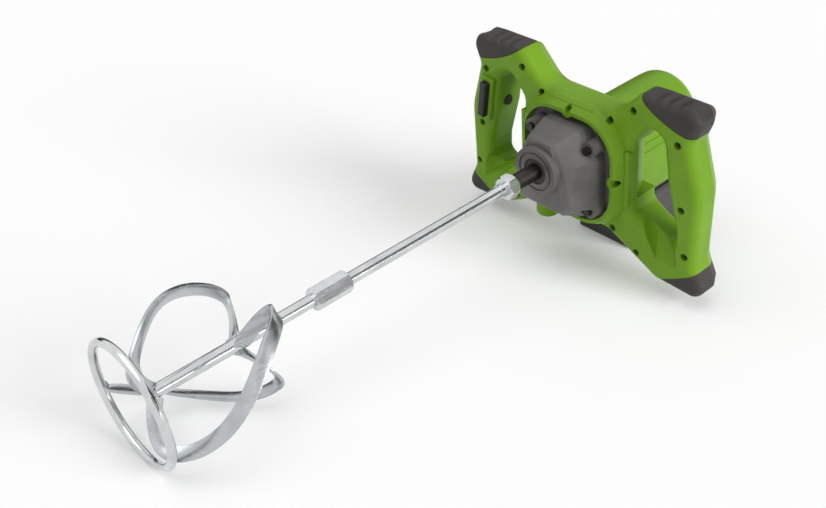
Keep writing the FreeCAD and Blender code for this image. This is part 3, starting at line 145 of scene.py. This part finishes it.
card_black = bpy.data.materials.new("card_black")
card_black.use_nodes = True
card_shader = card_black.node_tree.nodes["Principled BSDF"]
card_shader.inputs["Base Color"].default_value = CARD_BLACK
card_shader.inputs["Specular IOR Level"].default_value = CARD_SHINE
for card_name, place, wide, tall in (
    ("camera_card", (1.0, 0.35, 0.62), 2.4, 0.8),
    ("far_card", (-1.0, 0.3, 0.05), 2.4, 0.6),
):
    bpy.ops.mesh.primitive_plane_add(size=1.0, location=place)
    card = bpy.context.object
    card.name = card_name
    face_towards(card, place, CARD_AIM)
    card.scale = (wide, tall, 1)
    card.data.materials.append(card_black)
    card.visible_camera = False
    card.visible_diffuse = False
    card.visible_shadow = False
    card.visible_transmission = False

# Two-handled body and motor housing: lime green glass-filled plastic, moulded with a fine
# spark-eroded grain, in a front and a rear half that are screwed together. The motor
# housing and its rear cap are mouldings of the same plastic.
CLOUD_SCALE = 18.0
CLOUD_DETAIL = 6.0
TONE_ENDS = (0.3, 0.7)
PORE_DETAIL = 3.0
GLOSS_SPREAD = 0.08
PORE_RELIEF = 0.35


def add_node(tree, kind, **values):
    """New shader node with its input values, where an underscore stands for a space."""
    made = tree.nodes.new("ShaderNode" + kind)
    for socket, value in values.items():
        made.inputs[socket.replace("_", " ")].default_value = value
    return made


def two_tones(tree, dark, light):
    """Colour ramp from the dark to the light tone of one finish."""
    tone = add_node(tree, "ValToRGB")
    for end, position, colour in zip(tone.color_ramp.elements, TONE_ENDS, (dark, light)):
        end.position = position
        end.color = colour + (1,)
    return tone


def moulded(name, dark, light, rough, grain, depth, shine):
    """Moulded finish: two tones in soft clouds, with fine pores in its gloss and its relief."""
    material = bpy.data.materials.new(name)
    material.use_nodes = True
    tree = material.node_tree
    shader = tree.nodes["Principled BSDF"]
    shader.inputs["Specular IOR Level"].default_value = shine
    place = add_node(tree, "TexCoord")
    cloud = add_node(tree, "TexNoise", Scale=CLOUD_SCALE, Detail=CLOUD_DETAIL)
    tone = two_tones(tree, dark, light)
    pores = add_node(tree, "TexNoise", Scale=grain, Detail=PORE_DETAIL)
    gloss = add_node(tree, "MapRange", To_Min=rough - GLOSS_SPREAD, To_Max=rough + GLOSS_SPREAD)
    relief = add_node(tree, "Bump", Strength=PORE_RELIEF, Distance=depth)
    tree.links.new(place.outputs["Object"], cloud.inputs["Vector"])
    tree.links.new(place.outputs["Object"], pores.inputs["Vector"])
    tree.links.new(cloud.outputs["Fac"], tone.inputs["Fac"])
    tree.links.new(tone.outputs["Color"], shader.inputs["Base Color"])
    tree.links.new(pores.outputs["Fac"], gloss.inputs["Value"])
    tree.links.new(gloss.outputs[0], shader.inputs["Roughness"])
    tree.links.new(pores.outputs["Fac"], relief.inputs["Height"])
    tree.links.new(relief.outputs["Normal"], shader.inputs["Normal"])
    return material


def dress(material, *names):
    """Give the named nodes a finish."""
    for name in names:
        nodes[name].data.materials.clear()
        nodes[name].data.materials.append(material)


lime_plastic = moulded("lime_plastic", dark=(0.135, 0.285, 0.008), light=(0.165, 0.33, 0.011),
                       rough=0.42, grain=1400.0, depth=0.0002, shine=0.22)
dress(lime_plastic, "front_housing", "rear_housing", "motor_housing", "rear_cap")

# Ribs on the ring: raised bars of the same lime plastic, moulded with the front half. One
# runs along the top of the ring and one beside each grip opening, with rounded edges.
RIB_ROUND = 0.0012
TOP_RIB_SIZE = (0.054, 0.012, 0.006)
TOP_RIB_MIDDLE = (0.0, 0.0600, 0.0515)
SIDE_RIB_SIZE = (0.006, 0.012, 0.062)
SIDE_RIB_X = 0.0685
SIDE_RIB_YZ = (0.0620, -0.009)
ROUND_STEPS = 3
ROUND_PROFILE = 0.5
BAR_SMOOTH = 40


def rounded_bar(name, size, rounding):
    """Straight lime plastic bar about the origin, with rounded edges."""
    bpy.ops.object.select_all(action="DESELECT")
    bpy.ops.mesh.primitive_cube_add(size=1.0)
    bar = bpy.context.object
    bar.name = name
    bar.scale = size
    bpy.ops.object.transform_apply(location=True, rotation=True, scale=True)
    bpy.ops.object.mode_set(mode="EDIT")
    bpy.ops.mesh.select_all(action="SELECT")
    bpy.ops.mesh.bevel(offset=rounding, segments=ROUND_STEPS, profile=ROUND_PROFILE)
    bpy.ops.object.mode_set(mode="OBJECT")
    bpy.ops.object.shade_smooth_by_angle(angle=math.radians(BAR_SMOOTH))
    bar.data.materials.append(lime_plastic)
    return bar


def copy_of(piece, name):
    """New piece with its own copy of another's mesh."""
    copy = bpy.data.objects.new(name, piece.data.copy())
    bpy.context.collection.objects.link(copy)
    return copy


top_rib = rounded_bar("ring_rib_top", TOP_RIB_SIZE, RIB_ROUND)
right_rib = rounded_bar("ring_rib_right", SIDE_RIB_SIZE, RIB_ROUND)
left_rib = copy_of(right_rib, "ring_rib_left")
for rib, middle in (
    (top_rib, TOP_RIB_MIDDLE),
    (right_rib, (SIDE_RIB_X, *SIDE_RIB_YZ)),
    (left_rib, (-SIDE_RIB_X, *SIDE_RIB_YZ)),
):
    rib.data.transform(Matrix.Translation(middle))
    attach(rib, "body")

# Lines on the motor housing's sides: low rounded bars of the same lime plastic, moulded on
# the wall beside the stator to stiffen it, which show through the grip openings.
MOTOR_WALL_R = 0.043
MOTOR_MIDDLE_Z = -0.012
BAR_SIZE = (0.0024, 0.066, 0.0016)
BAR_ROUND = BAR_SIZE[2] * 0.4
BAR_MIDDLE_Y = 0.142
BAR_COUNT = 4
BAR_FIRST_TURN = 8
BAR_TURN_STEP = -14
bar_model = rounded_bar("bar_model", BAR_SIZE, BAR_ROUND)
for side_name, side in (("right", 1), ("left", -1)):
    for number in range(BAR_COUNT):
        turn = math.radians(BAR_FIRST_TURN + BAR_TURN_STEP * number)
        bar_x = side * MOTOR_WALL_R * math.cos(turn)
        bar_z = MOTOR_MIDDLE_Z + MOTOR_WALL_R * math.sin(turn)
        bar = copy_of(bar_model, "motor_bar_%s_%d" % (side_name, number + 1))
        bar.data.transform(Matrix.Rotation(-turn * side, 4, "Y"))
        bar.data.transform(Matrix.Translation((bar_x, BAR_MIDDLE_Y, bar_z)))
        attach(bar, "body")
bpy.data.objects.remove(bar_model)

# Bumpers: dark warm grey rubber, moulded over the ends of the handles so that the drill can
# be stood and leaned on them. The spindle's seal is of the same rubber, pressed in.
bumper_rubber = moulded("bumper_rubber", dark=(0.034, 0.03, 0.027), light=(0.05, 0.045, 0.041),
                        rough=0.6, grain=1800.0, depth=0.0002, shine=0.3)
dress(bumper_rubber, "upper_right_bumper", "upper_left_bumper", "lower_right_bumper", "lower_left_bumper",
      "spindle_seal")

# Upper bumpers: the same rubber as one full cap on the top of each handle, well rounded,
# with three finger grooves and a thumb hollow across its top, pressed in by the mould.
# A hollow has its Y, half width, half length, roundness and depth.
GROOVE_XS = (0.094, 0.1065, 0.119)
GROOVE_ON_TOP = (0.078, 0.0046, 0.0210, 0.0080, 0.0042)
GROOVE_AT_EDGE = (0.066, 0.0042, 0.0130, 0.0080, 0.0024)
THUMB_X = 0.139
THUMB_HOLLOW = (0.077, 0.0130, 0.0160, 0.0090, 0.0040)
ABOVE_CAP = 0.16
CAP_MERGE = 0.00001
CUTTER_SIDES = 48
CAP_VOXEL = 0.0009
CAP_SMOOTH_SHARE = 0.5
CAP_SMOOTH_ROUNDS = 5


def pick(piece):
    """Select one piece alone and make it active."""
    bpy.ops.object.select_all(action="DESELECT")
    piece.select_set(True)
    bpy.context.view_layer.objects.active = piece


def finish_with(piece, *changes):
    """Apply modifiers to a piece, each given as its kind and its values."""
    bpy.context.view_layer.objects.active = piece
    for kind, values in changes:
        change = piece.modifiers.new(kind, kind)
        for key, value in values.items():
            setattr(change, key, value)
        bpy.ops.object.modifier_apply(modifier=change.name)


def cut_away(piece, cutter):
    """Take the cutter's shape out of a piece, and the cutter out of the scene."""
    finish_with(piece, ("BOOLEAN", {"operation": "DIFFERENCE", "object": cutter, "solver": "EXACT"}))
    bpy.data.objects.remove(cutter)


cap_hollows = [(x, *GROOVE_ON_TOP) for x in GROOVE_XS]
cap_hollows += [(x, *GROOVE_AT_EDGE) for x in GROOVE_XS]
cap_hollows.append((THUMB_X, *THUMB_HOLLOW))
for side, node_name in ((1, "upper_right_bumper"), (-1, "upper_left_bumper")):
    cap = copy_of(nodes[node_name], node_name + "_cap")
    pick(cap)
    bpy.ops.object.mode_set(mode="EDIT")
    bpy.ops.mesh.select_all(action="SELECT")
    bpy.ops.mesh.remove_doubles(threshold=CAP_MERGE)
    bpy.ops.mesh.convex_hull()
    bpy.ops.object.mode_set(mode="OBJECT")
    tops = [cap.ray_cast((side * x, y, ABOVE_CAP), (0, 0, -1)) for x, y, *sizes in cap_hollows]
    for (found, top, normal, face), (x, y, wide, long, high, deep) in zip(tops, cap_hollows):
        bpy.ops.object.select_all(action="DESELECT")
        bpy.ops.mesh.primitive_uv_sphere_add(segments=CUTTER_SIDES, ring_count=CUTTER_SIDES // 2, radius=1.0)
        cutter = bpy.context.object
        cutter.data.transform(Matrix.Diagonal((wide, long, high, 1.0)))
        cutter.data.transform(normal.to_track_quat("Z", "Y").to_matrix().to_4x4())
        cutter.data.transform(Matrix.Translation(top + normal * (high - deep)))
        cut_away(cap, cutter)
    finish_with(cap,
                ("REMESH", {"mode": "VOXEL", "voxel_size": CAP_VOXEL}),
                ("SMOOTH", {"factor": CAP_SMOOTH_SHARE, "iterations": CAP_SMOOTH_ROUNDS}))
    pick(cap)
    bpy.ops.object.shade_smooth()
    cap.data.materials.clear()
    cap.data.materials.append(bumper_rubber)
    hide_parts(node_name)
    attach(cap, "body")

# Trigger, lock button, switch, fan, battery rail and latch button: black nylon mouldings.
# The trigger and the buttons slide in their openings, and the rest is clipped in.
black_nylon = moulded("black_nylon", dark=(0.012, 0.011, 0.01), light=(0.022, 0.02, 0.019),
                      rough=0.45, grain=1500.0, depth=0.0001, shine=0.4)
dress(black_nylon, "trigger", "lock_button", "switch_module", "cooling_fan", "battery_shoe",
      "battery_latch_button")

# Battery pack: a case of dark grey plastic, moulded as a top and a base that are joined
# round the cells.
pack_plastic = moulded("pack_plastic", dark=(0.048, 0.045, 0.046), light=(0.066, 0.062, 0.062),
                       rough=0.5, grain=1200.0, depth=0.0002, shine=0.35)
dress(pack_plastic, "battery_case_top", "battery_case_base")

# Gear case and its two plates: cast light alloy with a dark stove paint. The case is
# screwed into the ring of the body through the wells at its corners.
cast_paint = moulded("cast_paint", dark=(0.075, 0.07, 0.067), light=(0.155, 0.147, 0.142),
                     rough=0.5, grain=700.0, depth=0.0006, shine=0.4)
dress(cast_paint, "gear_case", "gear_plate", "motor_plate")

# Front of the gear case: the bevelled facets of the same painted casting, as a close skin
# over the case from the nose boss back to the flange, open round the nose and the screw
# wells. A ring is its Y and the X and Z of its right half's corners.
CASE_FLANK = [(0.0225, 0.0375), (0.0435, 0.0080), (0.0455, -0.0445), (0.0310, -0.0585)]
CASE_RINGS = [
    (0.006, [(0.0150, 0.0315), (0.0228, -0.0015), (0.0310, -0.0360), (0.0240, -0.0405)]),
    (0.010, [(0.0165, 0.0322), (0.0280, 0.0080), (0.0390, -0.0290), (0.0290, -0.0450)]),
    (0.038, CASE_FLANK),
    (0.0545, CASE_FLANK),
]
CASE_START_R = 0.02
CASE_RIDGE = 0.0008
CASE_RIDGE_END = 0.037
CASE_SKIN = 0.0006
CASE_SMOOTH = 30
FACING_BACK = 0.9
CASE_WELLS = [(0.0375, 0.0225), (0.0396, -0.0483)]
WELL_R = 0.0049
WELL_END = 0.036
NOSE_R = 0.0255
NOSE_END = 0.03
CUT_AHEAD = 0.02
HOLE_SIDES = 64


def both_sides(points):
    """Outline of a whole ring from the corners of its right half."""
    return points + [(-x, z) for x, z in reversed(points)]


first_y, first_half = CASE_RINGS[0]
first_ring = both_sides(first_half)
bpy.ops.object.select_all(action="DESELECT")
bpy.ops.mesh.primitive_circle_add(vertices=len(first_ring), radius=CASE_START_R, fill_type="NGON")
case_front = bpy.context.object
case_front.name = "gear_case_front"
for point, (x, z) in zip(case_front.data.vertices, first_ring):
    point.co = (x, first_y, z)
for (y, ring), (next_y, next_ring) in zip(CASE_RINGS, CASE_RINGS[1:]):
    bpy.ops.object.mode_set(mode="EDIT")
    bpy.ops.mesh.extrude_region_move(TRANSFORM_OT_translate={"value": (0, next_y - y, 0)})
    bpy.ops.object.mode_set(mode="OBJECT")
    for point in case_front.data.vertices:
        if point.select:
            moves = zip(both_sides(ring), both_sides(next_ring))
            start, end = min(moves, key=lambda move: math.dist(move[0], (point.co.x, point.co.z)))
            point.co = (end[0], next_y, end[1])
bpy.ops.object.mode_set(mode="EDIT")
bpy.ops.mesh.select_all(action="SELECT")
bpy.ops.mesh.normals_make_consistent(inside=False)
bpy.ops.mesh.select_mode(type="EDGE")
bpy.ops.mesh.select_all(action="DESELECT")
bpy.ops.object.mode_set(mode="OBJECT")
for edge in case_front.data.edges:
    edge.select = min(case_front.data.vertices[k].co.y for k in edge.vertices) < CASE_RIDGE_END
bpy.ops.object.mode_set(mode="EDIT")
bpy.ops.mesh.bevel(offset=CASE_RIDGE, segments=ROUND_STEPS, profile=ROUND_PROFILE, clamp_overlap=True)
bpy.ops.mesh.select_mode(type="FACE")
bpy.ops.mesh.select_all(action="DESELECT")
bpy.ops.object.mode_set(mode="OBJECT")
for face in case_front.data.polygons:
    face.select = face.normal.y > FACING_BACK
bpy.ops.object.mode_set(mode="EDIT")
bpy.ops.mesh.delete(type="FACE")
bpy.ops.object.mode_set(mode="OBJECT")
finish_with(case_front, ("SOLIDIFY", {"thickness": CASE_SKIN, "offset": -1.0}))
case_holes = [(x, z, WELL_R, WELL_END) for x, z in CASE_WELLS + [(-x, z) for x, z in CASE_WELLS]]
case_holes.append((0.0, 0.0, NOSE_R, NOSE_END))
for x, z, radius, far in case_holes:
    bpy.ops.object.select_all(action="DESELECT")
    bpy.ops.mesh.primitive_cylinder_add(
        vertices=HOLE_SIDES, radius=radius, depth=far + CUT_AHEAD, location=(x, (far - CUT_AHEAD) / 2, z),
        rotation=(math.radians(90), 0, 0))
    cut_away(case_front, bpy.context.object)
pick(case_front)
bpy.ops.object.shade_smooth_by_angle(angle=math.radians(CASE_SMOOTH))
case_front.data.materials.append(cast_paint)
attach(case_front, "body")

# Control board and battery cells: a glass-fibre board under green lacquer, clipped into the
# housing, and steel cells in shrunk-on blue sleeves, laid side by side in the pack.
board_lacquer = moulded("board_lacquer", dark=(0.01, 0.08, 0.03), light=(0.015, 0.12, 0.04),
                        rough=0.35, grain=900.0, depth=0.0001, shine=0.5)
dress(board_lacquer, "control_board")
cell_sleeve = moulded("cell_sleeve", dark=(0.03, 0.06, 0.2), light=(0.04, 0.08, 0.26),
                      rough=0.35, grain=900.0, depth=0.0001, shine=0.5)
dress(cell_sleeve, "battery_cells")

# Paddle: the hoop, the rods, their coupling and the lock nut are bright zinc-plated steel.
# The hoop is bent from round wire, the rods are drawn, and the nut screws against the spindle.
DRAWN_SCALE = 12.0
DRAWN_DETAIL = 4.0
SPOT_SCALE = 60.0
SPOT_DETAIL = 5.0
LEAST_ROUGH = 0.03
DRAWN_RELIEF = 0.15


def metal(name, dark, light, rough, streak, depth):
    """Metal finish: two tones in spots, with lines drawn along the spindle in gloss and relief."""
    material = bpy.data.materials.new(name)
    material.use_nodes = True
    tree = material.node_tree
    shader = tree.nodes["Principled BSDF"]
    shader.inputs["Metallic"].default_value = 1.0
    place = add_node(tree, "TexCoord")
    draw = add_node(tree, "Mapping", Scale=(streak, DRAWN_SCALE, streak))
    lines = add_node(tree, "TexNoise", Scale=1.0, Detail=DRAWN_DETAIL)
    spots = add_node(tree, "TexNoise", Scale=SPOT_SCALE, Detail=SPOT_DETAIL)
    tone = two_tones(tree, dark, light)
    least = max(LEAST_ROUGH, rough - GLOSS_SPREAD)
    gloss = add_node(tree, "MapRange", To_Min=least, To_Max=rough + GLOSS_SPREAD)
    relief = add_node(tree, "Bump", Strength=DRAWN_RELIEF, Distance=depth)
    tree.links.new(place.outputs["Object"], draw.inputs["Vector"])
    tree.links.new(draw.outputs[0], lines.inputs["Vector"])
    tree.links.new(place.outputs["Object"], spots.inputs["Vector"])
    tree.links.new(spots.outputs["Fac"], tone.inputs["Fac"])
    tree.links.new(tone.outputs["Color"], shader.inputs["Base Color"])
    tree.links.new(lines.outputs["Fac"], gloss.inputs["Value"])
    tree.links.new(gloss.outputs[0], shader.inputs["Roughness"])
    tree.links.new(lines.outputs["Fac"], relief.inputs["Height"])
    tree.links.new(relief.outputs["Normal"], shader.inputs["Normal"])
    return material


bright_zinc = metal("bright_zinc", dark=(0.54, 0.555, 0.565), light=(0.7, 0.71, 0.72),
                    rough=0.15, streak=900.0, depth=0.00005)
dress(bright_zinc, "hoop", "lower_rod", "hex_coupling", "upper_rod", "lock_nut")

# Paddle blades: three strips of flat zinc-plated steel, bent and twisted in a jig. Each is
# welded to the rod at both ends and to the hoop where it turns inwards.
BLADE_WIDE = 0.013
BLADE_THICK = 0.003
BLADE_STEPS = 120
BLADE_STEPS_ACROSS = 2
BLADE_EDGE = 0.0006
BLADE_EDGE_STEPS = 2
BLADE_EDGE_ANGLE = 60
BLADE_SMOOTH = 35
BLADE_LOOK = 0.004
BLADE_FIRST_TURN = -45.0
BLADE_TURN_STEP = -120.0
BLADE_NUMBERS = (1, 2, 3)
# Control points of the strip's middle line, in metres, each with the strip's twist in degrees
BLADE_LINE = [(0.003, -0.360, -0.003, 34), (0.041, -0.334, 0.012, 9), (0.054, -0.334, 0.001, -5),
              (0.060, -0.358, -0.015, 7), (0.047, -0.387, -0.042, 41), (0.030, -0.418, -0.060, 72),
              (0.002, -0.450, -0.057, 82), (-0.005, -0.461, -0.037, 78), (0.000, -0.440, -0.004, 71)]
strip_zinc = metal("strip_zinc", dark=(0.4, 0.42, 0.435), light=(0.5, 0.52, 0.535),
                   rough=0.25, streak=300.0, depth=0.00002)


def blade_middle(share):
    """Point and twist of the strip's middle, on a cubic spline with the control points."""
    spans = len(BLADE_LINE) - 3
    knots = [0.0] * 3 + [step / spans for step in range(spans + 1)] + [1.0] * 3
    first = min(int(share * spans), spans - 1)
    points = [Vector(BLADE_LINE[first + step]) for step in range(4)]
    for level in (1, 2, 3):
        for step in range(3, level - 1, -1):
            low = knots[first + step]
            high = knots[first + step + 4 - level]
            points[step] = points[step - 1].lerp(points[step], (share - low) / (high - low))
    return points[3].to_3d(), math.radians(points[3][3])


def blade_place(share, across):
    """Point on the strip at a share of its length and a distance across from its middle."""
    middle, twist = blade_middle(share)
    behind = blade_middle(max(0.0, share - BLADE_LOOK))[0]
    ahead = (blade_middle(min(1.0, share + BLADE_LOOK))[0] - behind).normalized()
    around = Vector((-middle.z, 0, middle.x))
    flat = (around - ahead * around.dot(ahead)).normalized()
    return middle + (flat * math.cos(twist) + ahead.cross(flat) * math.sin(twist)) * across


def blade_turn(number):
    """Turn about the rod that takes the first strip to a blade's place."""
    return Matrix.Rotation(math.radians(BLADE_FIRST_TURN + BLADE_TURN_STEP * (number - 1)), 4, "Y")


bpy.ops.object.select_all(action="DESELECT")
bpy.ops.mesh.primitive_grid_add(x_subdivisions=BLADE_STEPS_ACROSS, y_subdivisions=BLADE_STEPS, size=1.0)
strip = bpy.context.object
# The grid is one unit long about its middle, so half a unit more gives the share of the strip
for point in strip.data.vertices:
    point.co = blade_place(point.co.y + 0.5, point.co.x * BLADE_WIDE)
finish_with(strip,
            ("SOLIDIFY", {"thickness": BLADE_THICK, "offset": 0.0, "use_even_offset": True}),
            ("BEVEL", {"width": BLADE_EDGE, "segments": BLADE_EDGE_STEPS, "limit_method": "ANGLE",
                       "angle_limit": math.radians(BLADE_EDGE_ANGLE)}))
bpy.ops.object.mode_set(mode="EDIT")
bpy.ops.mesh.select_all(action="SELECT")
bpy.ops.mesh.normals_make_consistent(inside=False)
bpy.ops.object.mode_set(mode="OBJECT")
bpy.ops.object.shade_smooth_by_angle(angle=math.radians(BLADE_SMOOTH))
strip.data.materials.append(strip_zinc)
for number in BLADE_NUMBERS:
    blade = copy_of(strip, "paddle_blade_%d" % number)
    blade.data.transform(blade_turn(number))
    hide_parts("blade_%d" % number)
    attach(blade, "paddle")
bpy.data.objects.remove(strip)

# Weld beads: small run-out lumps of the same zinc-plated steel, where each blade meets the
# rod at its two ends and the hoop at its lowest bend.
BEAD_SIZE = (0.0050, 0.0022, 0.0022)
BEAD_DIVISIONS = 3
BEAD_LONG_RIPPLE = (0.12, 9.0)
BEAD_CROSS_RIPPLE = (0.08, 7.0)
BEAD_LOOK = 0.001
ROD_R = 0.006
HOOP_R = 0.056
HOOP_Y = -0.459
SEARCH_STEPS = 500


def from_rod(share):
    """How far the strip's middle is from the rod's wall."""
    middle = blade_middle(share)[0]
    return abs(math.hypot(middle.x, middle.z) - ROD_R)


def from_hoop(share):
    """How far the strip's lower edge is from the middle of the hoop's wire."""
    rim = blade_place(share, -BLADE_WIDE / 2)
    return math.hypot(math.hypot(rim.x, rim.z) - HOOP_R, rim.y - HOOP_Y)


shares = [step / SEARCH_STEPS for step in range(SEARCH_STEPS + 1)]
half_way = SEARCH_STEPS // 2
welds = (
    ("rod_top", min(shares[:half_way], key=from_rod), 0.0),
    ("rod_end", min(shares[half_way:], key=from_rod), 0.0),
    ("hoop", min(shares, key=from_hoop), -BLADE_WIDE / 2),
)
for number in BLADE_NUMBERS:
    bpy.ops.object.select_all(action="DESELECT")
    bpy.ops.mesh.primitive_ico_sphere_add(subdivisions=BEAD_DIVISIONS, radius=1.0)
    bead_model = bpy.context.object
    for point in bead_model.data.vertices:
        ripple = 1.0 + BEAD_LONG_RIPPLE[0] * math.sin(BEAD_LONG_RIPPLE[1] * point.co.x + number)
        ripple += BEAD_CROSS_RIPPLE[0] * math.sin(BEAD_CROSS_RIPPLE[1] * point.co.z)
        point.co = [point.co[k] * BEAD_SIZE[k] * ripple for k in range(3)]
    bpy.ops.object.shade_smooth()
    bead_model.data.materials.append(strip_zinc)
    for place_name, share, across in welds:
        spot = blade_place(share, across)
        run = blade_place(share, BEAD_LOOK) - blade_place(share, -BEAD_LOOK)
        if place_name == "hoop":
            run = Vector((-spot.z, 0, spot.x))
        bead = copy_of(bead_model, "weld_%s_%d" % (place_name, number))
        bead.data.transform(run.to_track_quat("X", "Z").to_matrix().to_4x4())
        bead.data.transform(Matrix.Translation(spot))
        bead.data.transform(blade_turn(number))
        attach(bead, "paddle")
    bpy.data.objects.remove(bead_model)

# Spindle and screws: turned steel with a black oxide finish. The spindle runs in the gear
# case's bearings, and the screws hold the gear case and the two body halves.
black_oxide = metal("black_oxide", dark=(0.04, 0.038, 0.036), light=(0.07, 0.066, 0.062),
                    rough=0.38, streak=900.0, depth=0.0001)
dress(black_oxide, "spindle", "gear_case_screws", "housing_screws")

# Gears, shafts, bearings and motor cores: ground and hardened steel, and stacked sheet for
# the cores. Gears and bearings are pressed on their shafts.
ground_steel = metal("ground_steel", dark=(0.3, 0.3, 0.31), light=(0.42, 0.42, 0.43),
                     rough=0.3, streak=1200.0, depth=0.0001)
dress(ground_steel, "output_gear", "layshaft", "layshaft_pinion", "layshaft_wheel", "spindle_front_bearing",
      "spindle_rear_bearing", "motor_shaft", "motor_pinion", "motor_front_bearing", "motor_rear_bearing",
      "stator_core", "rotor_core")

# Layshaft bushes, battery terminals and motor coils: sintered bronze, pressed into the
# plates, contacts of the same colour, and enamelled copper wire wound on the stator.
sintered_bronze = metal("sintered_bronze", dark=(0.4, 0.24, 0.1), light=(0.5, 0.32, 0.14),
                        rough=0.4, streak=800.0, depth=0.0001)
dress(sintered_bronze, "layshaft_bushes", "battery_terminals")
wound_copper = metal("wound_copper", dark=(0.45, 0.16, 0.06), light=(0.6, 0.24, 0.1),
                     rough=0.35, streak=1500.0, depth=0.0003)
dress(wound_copper, "stator_coils")
